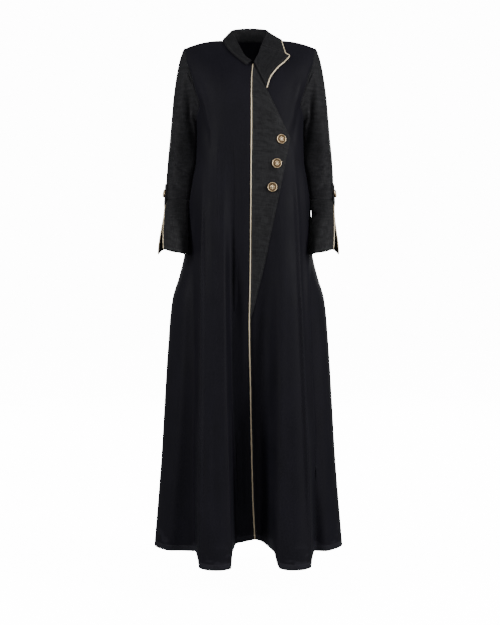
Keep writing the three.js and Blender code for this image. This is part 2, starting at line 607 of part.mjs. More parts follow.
// A folded strip of cloth from the neck seam up to its roll and down to the leaf's edge
function foldedStrip(table, stations) {
  const sections = stations.map((station) => {
    const seam = neckSeamAt(station);
    const [rollX, rollY, rollZ, edgeX, edgeH] = ["rollX", "rollY", "rollZ", "edgeX", "edgeH"].map(
      (column) => along(table, "station", column, station),
    );
    const foot = seam.outer.clone().add(seam.inner).multiplyScalar(0.5);
    const roll = vec(rollX, rollY, rollZ);
    const half = station > 6 && station < 14 ? "back" : "front";
    const nearShoulder = SHOULDER_STATIONS.reduce((sum, at) => sum + Math.exp(-((station - at) ** 2)), 0);
    const edge = off(edgeX, edgeH, half, LEAF_CLEARANCE + SHOULDER_CLEARANCE * nearShoulder);
    const out = vec(foot.x, foot.y - 10, 0).setLength(ROLL_RADIUS);
    const down = foot.clone().sub(roll).setLength(ROLL_DROP * ROLL_RADIUS);
    const turn = (sense) => roll.clone().add(down).addScaledVector(out, sense);
    const start = turn(1);
    const fall = FALL_STEPS.map((t) => {
      const point = start.clone().lerp(edge, t);
      const h = heightOn(point.x, point.z, half);
      if (h < -2) {
        const clear = off(point.x, h, half, LEAF_CLEARANCE + FALL_CLEARANCE * (1 - t));
        const sense = half === "front" ? -1 : 1;
        if ((clear.y - point.y) * sense > 0) point.y = clear.y;
      }
      return point;
    });
    const stand = [foot, foot.clone().lerp(turn(-1), 0.5), turn(-1)];
    return { seam, path: [...stand, roll, start, ...fall, edge] };
  });
  const middle = sections[0].path.map((_, i) => sections.map((section) => section.path[i]));
  const face = insideOf(middle, false, -CLOTH / 2);
  const underside = insideOf(middle, false, CLOTH / 2);
  sections.forEach(({ seam }, j) => {
    face[0][j] = seam.inner;
    underside[0][j] = seam.outer;
  });
  return { geometry: wall(face, underside), edge: middle.at(-1), lastButOne: middle.at(-2) };
}
const collarStations = [0.3, 6.5, 13.5, ...Array.from({ length: 18 }, (_, n) => n + 1)].sort(
  (a, b) => b - a,
);
const lapelStations = LAPEL.map((row) => row.station).reverse();
const collar = foldedStrip(COLLAR, collarStations);
const lapel = foldedStrip(LAPEL, lapelStations);
add("collar", collar.geometry, "weave");
add("lapel", lapel.geometry, "weave");

// ---- Piping: a round cord along a line of points ----
function piping(points, steps, sides = 6) {
  const round = new THREE.Shape().absarc(0, 0, PIPING_RADIUS, 0, 2 * Math.PI);
  const path = new THREE.CatmullRomCurve3(points, false, "centripetal");
  return new THREE.ExtrudeGeometry(round, { steps, curveSegments: sides / 2, extrudePath: path });
}
const besideCentre = (h) => off(centreEdge(h) + PIPING_RADIUS + PIPING_GAP, h, "front", PIPING_RISE);
const belowNeck = ROW_HEIGHTS.filter((h) => h < -NECK_DEPTH);
add("piping_front", piping([-NECK_DEPTH - 1, ...belowNeck].map(besideCentre), 44), "piping");

// The piped edge of the lapel and the collar, from the flap round the neck to the right shoulder
function pipedEdge(strip) {
  const outwardOf = (p, q, j) => {
    const run = q.clone().sub(p).normalize();
    const out = strip.edge[j].clone().sub(strip.lastButOne[j]);
    return out.addScaledVector(run, -out.dot(run)).normalize();
  };
  return strip.edge.map((point, j) => {
    const before = outwardOf(strip.edge[Math.max(0, j - 1)], strip.edge[Math.max(1, j)], j);
    const last = strip.edge.length - 1;
    const after = outwardOf(strip.edge[Math.min(last - 1, j)], strip.edge[Math.min(last, j + 1)], j);
    const away = before.clone().add(after).normalize();
    const distance = (PIPING_RADIUS + LEAF_PIPING_GAP) / Math.max(0.65, away.dot(after));
    return point.clone().addScaledVector(away, distance);
  });
}
const PIPED_COLLAR_STATIONS = 13; // of its stations, left to right
const leafEdge = [...pipedEdge(lapel), ...pipedEdge(collar).slice(0, PIPED_COLLAR_STATIONS)];
add("piping_lapel", piping(leafEdge, 70), "piping");

// ---- Sleeves, cuffs, slits and tabs; side is -1 for the wearer's right, 1 for the left ----
const ringTurn = (i) => (2 * Math.PI * i) / SLEEVE_SIDES;
const twist = (z) => SLIT.turn * smooth((SLEEVE[0].z - z) / (SLEEVE[0].z - TAB.top));

// Outer point of a sleeve's level section; turn runs from the outside round by the front
function sleevePoint(side, z, turn, out = 0) {
  const size = (column) => along(SLEEVE, "z", column, z);
  const [inner, outer, halfDepth] = [size("inner"), size("outer"), size("halfDepth")];
  const halfWidth = (outer - inner) / 2;
  const [c, s] = [Math.cos(turn), Math.sin(turn)];
  const normal = vec(c / halfWidth, -s / halfDepth, 0).normalize();
  const x = (inner + outer) / 2 + halfWidth * c + normal.x * out;
  return vec(side * x + size("shift"), size("middle") - halfDepth * s + normal.y * out, z);
}

function sleeve(side) {
  const front = side < 0 ? rightFront : leftFront;
  const [frontColumn, backColumn] = side < 0 ? [0, lastBack] : [lastLeft, 0];
  const edgeOf = (panel, i, column) => [panel.outer[i][column], panel.inner[i][column]];
  const seam = [];
  for (let i = 0; i <= ARMHOLE_ROWS; i++) seam.push(edgeOf(front, i, frontColumn));
  for (let i = ARMHOLE_ROWS - 1; i > 0; i--) seam.push(edgeOf(back, i, backColumn));
  const gap = vec(side * ARMHOLE_GAP, 0, 0);
  const starts = seam.map(([outer]) => outer.clone().add(gap));
  const outer = CAP_STEPS.map((t) =>
    starts.map((from, i) => {
      if (t === 0) return from;
      const turn = ringTurn(i);
      const to = sleevePoint(side, SLEEVE[0].z, turn);
      const straight = to.clone().sub(from);
      const low = smooth(Math.min(turn, 2 * Math.PI - turn) / CAP_KICK.fade);
      const kick = vec(side * CAP_KICK.x, -CAP_KICK.y * Math.sin(turn), CAP_KICK.z);
      const leave = kick.lerp(straight, low);
      const arrive = vec(side * CAP_KICK.lean, 0, straight.z).lerp(vec(0, straight.y / 3, straight.z), low);
      const [t2, t3] = [t * t, t * t * t];
      return from
        .clone()
        .multiplyScalar(2 * t3 - 3 * t2 + 1)
        .addScaledVector(leave, t3 - 2 * t2 + t)
        .addScaledVector(to, 3 * t2 - 2 * t3)
        .addScaledVector(arrive, t3 - t2);
    }),
  );
  for (const z of SLEEVE_RINGS)
    outer.push(starts.map((_, i) => sleevePoint(side, z, ringTurn(i) + twist(z))));
  // seen from outside, a ring's columns run against the clock on the left sleeve only
  const rings = side > 0 ? outer.map((row) => [row[0], ...row.slice(1).reverse()]) : outer;
  const inner = insideOf(rings, true);
  const ends = side > 0 ? [seam[0], ...seam.slice(1).reverse()] : seam;
  ends.forEach(([panelOuter, panelInner], j) => {
    const panelWay = panelInner.clone().sub(panelOuter);
    const sleeveWay = inner[0][j].clone().sub(rings[0][j]).setLength(CLOTH);
    const way = side * (sleeveWay.x - panelWay.x) >= 0 ? sleeveWay : panelWay;
    inner[0][j] = rings[0][j].clone().add(way);
  });
  const last = rings.length - 1;
  inner[last].forEach((point) => point.setZ(SLEEVE_END_Z));
  return wall(rings, inner, true);
}

// Half-angle of the slit and height of the lower edge, down a cuff from 0 to 1
const slitHalf = (down) => mix(SLIT.top, SLIT.bottom, down);
function cuffEnd(turn) {
  const round = (1 - Math.cos(turn)) / 2;
  return mix(turn < Math.PI ? CUFF.frontEnd : CUFF.backEnd, CUFF.innerEnd, round);
}
function cuffGrid(side, out = 0) {
  return Array.from({ length: CUFF.rows + 1 }, (_, i) => {
    const down = i / CUFF.rows;
    return Array.from({ length: SLEEVE_SIDES + 1 }, (_, j) => {
      let turn = ringTurn(j);
      if (j === 0) turn = slitHalf(down);
      if (j === SLEEVE_SIDES) turn = 2 * Math.PI - slitHalf(down);
      const z = mix(SLEEVE_END_Z - SEAM, cuffEnd(turn), down);
      const flare = CUFF.flare * down * Math.exp(-(((2 * Math.PI - turn) / CUFF.flareTurn) ** 2));
      const point = sleevePoint(side, z, turn + SLIT.turn, out);
      point.x += side * flare;
      return point;
    });
  });
}
function cuff(side) {
  const turned = (grid) => (side > 0 ? grid.map((row) => [...row].reverse()) : grid);
  const outer = turned(cuffGrid(side));
  const inner = turned(cuffGrid(side, -CLOTH));
  return wall(outer, inner);
}
function slitPiping(side, edge) {
  const column = edge === "front" ? 0 : SLEEVE_SIDES;
  const next = edge === "front" ? 1 : SLEEVE_SIDES - 1;
  const points = cuffGrid(side, PIPING_GAP).map((row) => {
    const away = row[column].clone().sub(row[next]).setZ(0).setLength(PIPING_RADIUS + PIPING_GAP);
    return row[column].clone().add(away);
  });
  return piping(points.slice(1), 8);
}
function tab(side) {
  const heights = [TAB.top, (TAB.top + SLEEVE_END_Z) / 2, SLEEVE_END_Z, TAB.shoulder, TAB.point];
  const grid = (out) =>
    heights.map((z) => {
      const half = ringTurn(1) * (z === TAB.point ? TAB.blunt : 1);
      return [-1, -0.5, 0, 0.5, 1].map((part) => sleevePoint(side, z, twist(z) + part * half, out));
    });
  const turned = (rows) => (side > 0 ? rows.map((row) => [...row].reverse()) : rows);
  return wall(turned(grid(TAB.offset + CLOTH)), turned(grid(TAB.offset)));
}

// ---- Buttons: a low dome inside a raised rim, turned about its axis ----
function button(name, radius, seat, normal) {
  const profile = [
    [0, 0],
    [0.9, 0],
    [1, 0.1],
    [0.97, 0.24],
    [0.86, 0.3],
    [0.74, 0.22],
    [0.4, 0.33],
    [0, 0.37],
  ].map(([across, up]) => new THREE.Vector2(across * radius, up * radius));
  const mesh = add(name, new THREE.LatheGeometry(profile, 20), "brass");
  mesh.quaternion.setFromUnitVectors(vec(0, 1, 0), normal);
  mesh.position.copy(seat);
}
FRONT_BUTTONS.forEach(({ x, z }, n) => {
  const normal = normalOn(x, z, "front");
  const middle = onBody(x, z, "front");
  const rim = Array.from({ length: 8 }, (_, k) => {
    const [c, s] = [Math.cos((k * Math.PI) / 4), Math.sin((k * Math.PI) / 4)];
    const point = onBody(x + BUTTON_RADIUS * c, z + BUTTON_RADIUS * s, "front");
    return point.sub(middle).dot(normal);
  });
  const seat = SEAM + CLOTH + BUTTON_SEAT + Math.max(0, ...rim);
  button(`button_front_${n + 1}`, BUTTON_RADIUS, middle.addScaledVector(normal, seat), normal);
});

for (const [side, name] of [
  [-1, "right"],
  [1, "left"],
]) {
  add(`sleeve_${name}`, sleeve(side), "weave");
  add(`cuff_${name}`, cuff(side), "weave");
  for (const edge of ["front", "back"])
    add(`piping_cuff_${name}_${edge}`, slitPiping(side, edge), "piping");
  add(`tab_${name}`, tab(side), "weave");
  const turn = twist(CUFF_BUTTON.z);
  const seat = sleevePoint(side, CUFF_BUTTON.z, turn, TAB.offset + CLOTH + BUTTON_SEAT);
  const down = sleevePoint(side, TAB.shoulder, turn).sub(sleevePoint(side, TAB.top, turn));
  const [ahead, behind] = [0.1, -0.1].map((step) => sleevePoint(side, CUFF_BUTTON.z, turn + step));
  const normal = down.cross(ahead.sub(behind)).multiplyScalar(-side).normalize();
  button(`button_cuff_${name}`, CUFF_BUTTON.radius, seat, normal);
}

export default group;
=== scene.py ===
import math

import bmesh
import bpy
import numpy as np
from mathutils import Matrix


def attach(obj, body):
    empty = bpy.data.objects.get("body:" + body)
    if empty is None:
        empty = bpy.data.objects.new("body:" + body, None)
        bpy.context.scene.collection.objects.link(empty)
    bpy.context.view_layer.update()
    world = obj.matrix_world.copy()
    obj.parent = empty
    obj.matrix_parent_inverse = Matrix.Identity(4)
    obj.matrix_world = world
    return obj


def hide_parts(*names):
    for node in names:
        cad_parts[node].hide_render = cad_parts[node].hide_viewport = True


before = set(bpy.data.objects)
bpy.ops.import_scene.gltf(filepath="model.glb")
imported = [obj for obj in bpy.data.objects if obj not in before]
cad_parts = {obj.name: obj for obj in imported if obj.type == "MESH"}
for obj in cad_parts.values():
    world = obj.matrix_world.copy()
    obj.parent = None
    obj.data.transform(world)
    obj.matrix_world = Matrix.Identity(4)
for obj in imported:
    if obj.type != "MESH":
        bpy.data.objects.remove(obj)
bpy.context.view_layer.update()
MM = 0.001


def table(columns, *rows):
    names = columns.split()
    return [dict(zip(names, row)) for row in rows]


# ---- Driving sizes, as in the construction ----
LENGTH = 1422
UNDERARM_Z = -215
SHOULDER_HALF = 181
SHOULDER_DROP = 22
SHOULDER_FLAT = 80
NECK_HALF = 66
NECK_DEPTH = 75
BACK_NECK_DIP = 36
NAPE_RISE = 46
NAPE_SPREAD = 1.1
NECK_CURVE = 1.3
CHEST_CURVE = 1.6
SQUARENESS = 0.05
UNDERLAP = {"width": 45, "depth": 2.4, "clear": 5, "widens": 40}
UNDERLAP_STEP = {"start": 4.6, "width": 14, "top": -55, "run": 20}
PIPING_RADIUS = 1.8
SLEEVE_END_Z = -441
BUTTON_RADIUS = 13.5

CREPE = 0.9  # thickness of the body's cloth
SLUB = 1.3  # thickness of the slubbed cloth, with its interlining
TAB_THICKNESS = 1.7

BODY = table(
    "h half_width front back side shift",
    (0, 186, 132, 112, 8, 0),
    (-52, 184, 132, 112, 8, 0),
    (-98, 178, 130, 112, 8, 0),
    (-155, 165, 129, 111, 8, 0),
    (-215, 150, 128, 109, 8, 0),
    (-338, 150.3, 135, 103, 0, 0.2),
    (-385, 158.5, 136.5, 103.5, 0, -0.6),
    (-441, 167.5, 138, 104, 4, -1),
    (-516, 175.5, 137, 112, 14, -3.2),
    (-590, 179, 134, 124, 18, -4.5),
    (-650, 192.5, 130, 131, 17, -4.6),
    (-720, 213, 126, 138, 16, -4.8),
    (-860, 226, 118, 150, 15.5, -4.8),
    (-1000, 235, 111, 162, 16, -4.8),
    (-1180, 246, 100, 176, 18, -4.8),
    (-1422, 266, 86, 192, 20, -4.5),
)
ARMHOLE = table(
    "h x",
    (0, 181),
    (-34, 177),
    (-74, 171),
    (-125, 160),
    (-155, 152.5),
    (-184, 145.5),
    (-215, 150),
)
FLUTES = table(
    "h right_outer right_inner left_inner left_outer outer_fall right_fall left_fall relief",
    (0, -140, -98, 98, 140, 10, 10, 10, 0),
    (-215, -120, -78, 80, 118, 12, 12, 14, 0),
    (-340, -124, -70, 84, 113, 22, 24, 34, 1),
    (-516, -126, -68, 88, 120, 30, 22, 50, 12),
    (-700, -126, -66, 89, 132, 30, 17, 58, 32),
    (-925, -127, -64, 89, 146, 27, 15, 60, 58),
    (-1180, -134, -56, 84, 156, 22, 14, 58, 94),
    (-1422, -136, -50, 78, 163, 17, 13, 52, 136),
)
FLUTE_CROWN = 0.07
RIDGES = table(
    "half x_top x_hem half_width relief start",
    ("front", 148, 212, 24, 17, -560),
    ("front", -158, -226, 26, 13, -620),
    ("back", -92, -176, 40, 34, -430),
    ("back", -30, -62, 36, 46, -380),
    ("back", 38, 58, 34, 38, -400),
    ("back", 98, 168, 42, 42, -460),
)
HEM_LIFT = {"centre": 44, "centre_x": 12, "fall": 0.22, "sides": 10, "back_level": 150, "flute_drop": 12}
CENTRE_EDGE = table(
    "h x",
    (-75, 6.5),
    (-118, 3),
    (-284, 2),
    (-446, 0.8),
    (-662, -1.1),
    (-800, -3.8),
    (-987, -0.5),
    (-1206, 3.8),
    (-1317, 6.8),
    (-1422, 11.5),
)

# ---- Creases laid on the panels: from (x0, h0) to (x1, h1), bowed sideways, with a sharp and a
# soft side. A negative rise is a trough ----
CREASE = "x0 h0 x1 h1 bow sharp soft rise"
FRONT_RIGHT_CREASES = table(
    CREASE,
    (-146, -96, -112, -270, -6, 8, 12, 4.4),
    (-140, -150, -112, -320, -4, 7, 14, -3.6),
    (-125, -330, -133, -1400, 1, 5, 5, 7.5),
    (-104, -250, -98, -760, 4, 13, 18, 3.2),
    (-86, -250, -84, -620, 2, 5, 9, 2.6),
    (-72, -300, -66, -1180, 2, 6, 10, 3.4),
    (-48, -170, -36, -860, 5, 17, 26, -4.6),
    (-20, -320, -16, -1120, -3, 11, 16, 2.0),
    (-146, -380, -172, -980, 4, 10, 22, -3.2),
    (-170, -560, -206, -1330, -5, 9, 16, 2.8),
    (-188, -700, -236, -1400, 5, 12, 18, -3.0),
    (-96, -900, -92, -1400, 4, 14, 22, -3.5),
    (-112, -1000, -116, -1380, -3, 9, 13, 2.4),
    (-30, -1010, -22, -1390, 3, 12, 18, -3.4),
)
FRONT_LEFT_CREASES = table(
    CREASE,
    (145, -94, 114, -268, 6, 8, 12, 4.6),
    (141, -160, 115, -320, 4, 7, 14, -3.4),
    (116, -260, 160, -1400, -3, 5, 5, 8.5),
    (139, -280, 160, -760, -4, 6, 12, 4.4),
    (146, -500, 190, -1360, 3, 5, 7, 6.5),
    (132, -470, 158, -1150, -3, 9, 14, -3.6),
    (176, -640, 208, -1390, 4, 9, 15, -3.8),
    (198, -700, 232, -1340, -4, 9, 15, 2.6),
    (94, -500, 84, -1240, 3, 10, 16, 2.2),
    (60, -560, 48, -1160, 5, 16, 24, -3.4),
    (30, -800, 26, -1380, -3, 10, 18, 1.8),
    (110, -980, 114, -1400, 4, 14, 20, -3.2),
    (40, -1080, 42, -1400, 2, 11, 15, -2.6),
)
BACK_CREASES = table(
    CREASE,
    (166, -90, 132, -240, 6, 6, 10, -5.2),
    (-166, -84, -130, -236, -6, 6, 10, -5.4),
    (150, -110, 112, -300, 7, 9, 14, 3.2),
    (-150, -104, -114, -290, -7, 9, 14, 3.2),
    (118, -260, 128, -760, -5, 12, 20, -4.0),
    (84, -300, 96, -900, 4, 10, 16, 3.0),
    (10, -240, -4, -820, 5, 14, 22, -4.4),
    (-62, -270, -74, -860, -4, 11, 18, 3.2),
    (-112, -300, -134, -940, 5, 12, 20, -4.2),
    (40, -620, 30, -1330, -4, 9, 15, 3.0),
    (-20, -640, -8, -1390, 4, 12, 20, -4.4),
    (-96, -700, -118, -1390, -4, 14, 20, -4.6),
    (110, -720, 118, -1380, 5, 13, 22, -4.4),
    (-196, -760, -214, -1390, 4, 9, 15, 3.2),
    (204, -820, 222, -1400, -4, 9, 15, 3.2),
    (150, -700, 178, -1320, 4, 8, 14, 3.0),
    (-150, -820, -160, -1400, -3, 8, 13, 2.8),
)
CREASE_END = 0.3  # share of a crease's length over which it fades out at each end
CREASE_FADE = {"side": 14, "armhole": 5, "top": -20, "run": 40, "edge": 18, "at_edge": 0.25}
ARMHOLE_GROOVE = {"depth": 8, "width": 5, "top": -40, "top_run": 60, "low_run": 30}
SEAM = {"depth": 0.7, "width": 2.5}  # how far a seam draws the cloth in, and over what width

# ---- The overlap flap, the collar and the lapel ----
FLAP_APEX = {"x": 107.8, "z": -279.2}
FLAP_LOWER_EDGE = table("z x", (-306.3, 102.3), (-392.8, 86), (-497.7, 64.5), (-605.2, 43), (-750.7, 8.1))
FLAP_TOP_Z = -76
FLAP_TIP_Z = -772
COLLAR = table(
    "station roll_x roll_y roll_z edge_x edge_h",
    (0.3, 5, -88, -69, -9, -81),
    (1, -13, -70, -54, -35, -59),
    (2, -25, -52, -32, -53, -41),
    (3, -36, -33, -10, -64, -26),
    (4, -44, -15, 8, -70, -15),
    (5, -50, -2, 19, -73, -7),
    (6, -53, 10, 25, -75, -1.5),
    (7, -47, 25, 31, -73, -17),
    (8, -34, 36, 35, -55, -37),
    (10, 0, 43, 38, 0, -50),
    (12, 34, 36, 35, 58, -37),
    (13, 46, 25, 31, 79, -17),
    (14, 50, 10, 25, 85.5, -1.5),
    (15, 48.5, -2, 20, 86.5, -7),
    (16, 44.5, -16, 10, 88, -16),
    (17, 39, -33, -4, 91.7, -29.5),
    (18, 32, -49, -21, 95.4, -45),
)
LAPEL = table(
    "station roll_x roll_y roll_z edge_x edge_h",
    (18.06, 31.6, -50, -22, 96, -45.8),
    (18.22, 30.6, -52, -24.5, 101, -47.4),
    (18.42, 29.4, -55, -29, 106.8, -50.3),
    (18.75, 26.6, -61, -37, 92.5, -69.7),
    (19, 23.6, -67, -46, 78.2, -82.5),
    (19.35, 19, -74, -55, 64.1, -99.1),
    (19.7, 14.5, -80, -64, 52.8, -117),
    (19.93, 11, -86, -70, 44.4, -144.5),
)
LEAF_CLEARANCE = 2.6
SHOULDER_CLEARANCE = 4
ROLL_RADIUS = 2.2
PIPED_COLLAR_END = 7  # the collar's piping stops at this station, behind the right shoulder

# ---- Sleeves and cuffs ----
SLEEVE = table(
    "z inner outer shift middle half_depth",
    (-262, 150.1, 224, 0, 26, 60),
    (-338, 148.5, 231.5, 0, 37, 57),
    (-398, 160, 235, -0.7, 31, 55),
    (SLEEVE_END_Z, 168.3, 236, -1.1, 10, 54),
    (-480, 172, 236.5, -2, -20, 53),
    (-516, 173, 237, -3.2, -42, 52),
    (-600, 173.6, 236, -4.4, -68, 54),
)
CAP_KICK = {"x": 70, "y": 14, "z": -60, "lean": 20, "fade": 2.1}
CUFF = {"front_end": -578, "inner_end": -594, "back_end": -575, "corner": 18}
CUFF_FLARE = {"out": 11, "turn": 0.42, "from": 0.25}  # the slit's back edge swings out below this share
SLIT = {"turn": 0.42, "top": 0.05, "bottom": 0.22}
TAB = {"top": -398, "shoulder": -445, "point": -460, "offset": 0.9, "half_turn": 0.285, "narrows": 0.94}
CUFF_BUTTON = {"z": -424, "radius": 11.5}
FRONT_BUTTONS = ((83.1, -282.6), (71.2, -348.4), (60.2, -412.3))

# Creases of a sleeve: x is the turn round it from the outside by the front, h the height
SLEEVE_CREASES = table(
    CREASE,
    (1.9, -130, 2.5, -330, 6, 9, 16, -6.0),
    (1.35, -90, 2.1, -240, 8, 10, 16, 3.4),
    (2.9, -190, 2.2, -370, -6, 8, 14, 3.6),
    (0.7, -300, 1.9, -360, 7, 6, 11, -3.2),
    (1.0, -340, 2.3, -385, 5, 5, 9, 2.4),
    (0.5, -370, 1.7, -415, -5, 6, 10, -2.6),
    (4.3, -120, 3.8, -330, -7, 9, 16, -5.4),
    (5.2, -320, 4.0, -372, 6, 6, 11, -3.0),
    (5.4, -360, 4.3, -408, -5, 6, 10, 2.4),
    (5.0, -180, 4.6, -330, 6, 12, 18, 2.6),
    (0.2, -170, 0.5, -330, 7, 14, 20, -2.8),
)
CUFF_CREASES = table(
    CREASE,
    (1.2, -470, 1.9, -560, 5, 7, 12, -2.0),
    (2.2, -455, 2.5, -570, -6, 8, 13, 2.2),
    (0.7, -500, 0.9, -575, 4, 6, 10, 1.4),
    (4.2, -460, 4.6, -570, 5, 8, 13, -2.2),
    (5.2, -480, 5.0, -580, -4, 7, 11, 1.6),
)


# ---- Curves ----
def smooth(t):
    c = np.clip(t, 0, 1)
    return c * c * (3 - 2 * c)


def mix(a, b, t):
    return a + (b - a) * t


def bell(t):
    return np.exp(-(t**2))


def hermite(t, start, leave, end, arrive):
    """A smooth way from start to end, leaving and arriving at these rates."""
    rise = (2 * t**3 - 3 * t**2 + 1) * start + (3 * t**2 - 2 * t**3) * end
    return rise + (t**3 - 2 * t**2 + t) * leave + (t**3 - t**2) * arrive


def along(rows, key, column, at):
    """A column of a table as a smooth curve through its rows."""
    keys = np.array([row[key] for row in rows], float)
    values = np.array([row[column] for row in rows], float)
    at = np.asarray(at, float)
    sense = np.sign(keys[1] - keys[0])
    n = np.clip(np.searchsorted(sense * keys, sense * at, side="left"), 1, len(keys) - 1)
    before = np.maximum(np.arange(len(keys)) - 1, 0)
    after = np.minimum(np.arange(len(keys)) + 1, len(keys) - 1)
    slope = (values[after] - values[before]) / (keys[after] - keys[before])
    span = keys[n] - keys[n - 1]
    t = np.clip((at - keys[n - 1]) / span, 0, 1)
    return hermite(t, values[n - 1], span * slope[n - 1], values[n], span * slope[n])


def body(column, h):
    return along(BODY, "h", column, h)


def flute(column, h):
    return along(FLUTES, "h", column, h)


def centre_edge(h):
    return along(CENTRE_EDGE, "h", "x", np.minimum(h, CENTRE_EDGE[0]["h"]))


def armhole(h):
    return along(ARMHOLE, "h", "x", h)


def points_of(x, y, z):
    return np.stack(np.broadcast_arrays(x, y, z), axis=-1)


def unit(vectors):
    return vectors / np.maximum(np.linalg.norm(vectors, axis=-1, keepdims=True), 1e-12)


def crease_field(u, v, creases):
    """Sum of soft troughs and ridges over the plane of u and v, in millimetres."""
    total = np.zeros(np.broadcast(u, v).shape)
    for c in creases:
        run_u, run_v = c["x1"] - c["x0"], c["h1"] - c["h0"]
        reach = math.hypot(run_u, run_v)
        t = ((u - c["x0"]) * run_u + (v - c["h0"]) * run_v) / reach**2
        aside = ((u - c["x0"]) * run_v - (v - c["h0"]) * run_u) / reach - c["bow"] * 4 * t * (1 - t)
        width = np.where(aside > 0, c["soft"], c["sharp"])
        ends = smooth(t / CREASE_END) * smooth((1 - t) / CREASE_END)
        total += c["rise"] * ends * bell(aside / width)
    return total


# ---- The body's surface ----
ANGLES = np.linspace(0, math.pi / 2, 4001)


def across(angle):
    return (np.sin(angle) + SQUARENESS * np.sin(3 * angle)) / (1 - SQUARENESS)


def forward(angle):
    return (np.cos(angle) - SQUARENESS * np.cos(3 * angle)) / (1 - SQUARENESS)


ACROSS = across(ANGLES)
FORWARD = forward(ANGLES)


def side_angle(x, h):
    """Angle of x from the panel's middle, up to a quarter turn each way."""
    share = (x - body("shift", h)) / body("half_width", h)
    return np.sign(share) * np.interp(np.abs(share), ACROSS, ANGLES)


def x_of(angle, h):
    return body("shift", h) + body("half_width", h) * across(angle)


def shoulder_rise(x, h, half):
    out = np.maximum(0, np.abs(x) - SHOULDER_FLAT) / (SHOULDER_HALF - SHOULDER_FLAT)
    nape = np.maximum(0, 1 - (x / (NECK_HALF - NAPE_SPREAD * np.minimum(0, h))) ** 2)
    rise = NAPE_RISE * nape**1.5 if half == "back" else 0
    return rise - SHOULDER_DROP * out * out


def flute_shape(x, h, side):
    """One flute; side turns x so that its inner edge, near the centre, is the lower one."""
    name = "right" if side < 0 else "left"
    inner, outer = side * flute(f"{name}_inner", h), side * flute(f"{name}_outer", h)
    inside = np.clip((side * x - inner) / (outer - inner), 0, 1)
    crown = 1 - FLUTE_CROWN * (1 - np.sin(math.pi * inside))
    near = smooth((side * x - inner) / flute(f"{name}_fall", h) + 1)
    far = smooth((outer - side * x) / flute("outer_fall", h) + 1)
    return crown * near * far


def flutes(x, h):
    return flute_shape(x, h, -1) + flute_shape(x, h, 1)


def ridges(x, h, half):
    total = 0
    for ridge in RIDGES:
        if ridge["half"] != half:
            continue
        down = np.maximum(0, (ridge["start"] - h) / (ridge["start"] + LENGTH))
        away = (x - mix(ridge["x_top"], ridge["x_hem"], down)) / ridge["half_width"]
        total = total + ridge["relief"] * down**1.3 * bell(away)
    return total


def hem_lift(x, h, half):
    down = np.maximum(0, (UNDERARM_Z - h) / (UNDERARM_Z + LENGTH))
    if half == "back":
        return HEM_LIFT["sides"] * smooth(np.abs(x) / HEM_LIFT["back_level"] - 1) * down**3
    on_flute = smooth(np.minimum(1, flutes(x, h)) * 4 - 3)
    in_valley = (x > flute("right_inner", h)) & (x < flute("left_inner", h))
    valley = HEM_LIFT["centre"] - HEM_LIFT["fall"] * np.abs(x - HEM_LIFT["centre_x"])
    lift = (1 - on_flute) * np.where(in_valley, valley, HEM_LIFT["sides"]) - on_flute * HEM_LIFT["flute_drop"]
    return lift * down**3


def on_body(x, h, half):
    x, h = np.broadcast_arrays(np.asarray(x, float), np.asarray(h, float))
    high = np.maximum(0, 1 - h / UNDERARM_Z)
    swing = (1 - high * high) ** (CHEST_CURVE / 2)
    side = body("side", h)
    ahead = forward(side_angle(x, h))
    if half == "front":
        folds = flute("relief", h) * flutes(x, h) + ridges(x, h, half)
        y = side - (body("front", h) + side) * ahead * swing - folds
    else:
        y = side + (body("back", h) - side) * ahead * swing + ridges(x, h, half)
    return points_of(x, y, h + high * shoulder_rise(x, h, half) + hem_lift(x, h, half))


CREASES = {"front_right": FRONT_RIGHT_CREASES, "front_left": FRONT_LEFT_CREASES, "back": BACK_CREASES}


def creased(x, h, panel):
    """Rise of a panel's creases, fading out at the armhole, the side seam and the panel's top, and partly at
    the fronts' centre edge, less a groove along the armhole.
    """
    side = np.where(h > UNDERARM_Z, armhole(h), body("half_width", h))
    from_side = side - np.abs(x - np.where(h > UNDERARM_Z, 0, body("shift", h)))
    at_side = mix(CREASE_FADE["side"], CREASE_FADE["armhole"], h > UNDERARM_Z)
    fade = smooth(from_side / at_side) * smooth((CREASE_FADE["top"] - h) / CREASE_FADE["run"])
    if panel != "back":
        from_edge = np.where(h < -NECK_DEPTH, np.abs(x - centre_edge(h)), NECK_HALF)
        fade = fade * mix(CREASE_FADE["at_edge"], 1, smooth(from_edge / CREASE_FADE["edge"]))
    drawn = smooth((ARMHOLE_GROOVE["top"] - h) / ARMHOLE_GROOVE["top_run"])
    drawn = drawn * smooth((h - UNDERARM_Z) / ARMHOLE_GROOVE["low_run"])
    groove = ARMHOLE_GROOVE["depth"] * drawn * bell(from_side / ARMHOLE_GROOVE["width"])
    return crease_field(x, h, CREASES[panel]) * fade - groove


def off_body(x, h, half, distance):
    """A point of the body's surface, moved out."""
    step = 0.5
    aside = on_body(x + step, h, half) - on_body(x - step, h, half)
    up = on_body(x, h + step, half) - on_body(x, h - step, half)
    normal = unit(np.cross(aside, up)) * (1 if half == "front" else -1)
    return on_body(x, h, half) + normal * np.asarray(distance)[..., None]


# ---- Cloth walls ----
NO_SIDE_EDGE = 1000.0  # a tube's distance from a side edge


def grid_normals(points, ring=False):
    """Outward normals of a grid whose rows run down and whose columns run to the right, seen from outside."""
    down = np.gradient(points, axis=0)
    if ring:
        aside = np.roll(points, -1, axis=1) - np.roll(points, 1, axis=1)
    else:
        aside = np.gradient(points, axis=1)
    return unit(np.cross(down, aside))


def run_across(points):
    """How far along its row each point lies from the first."""
    steps = np.linalg.norm(np.diff(points, axis=-2), axis=-1)
    return np.concatenate([np.zeros_like(steps[..., :1]), np.cumsum(steps, axis=-1)], axis=-1)


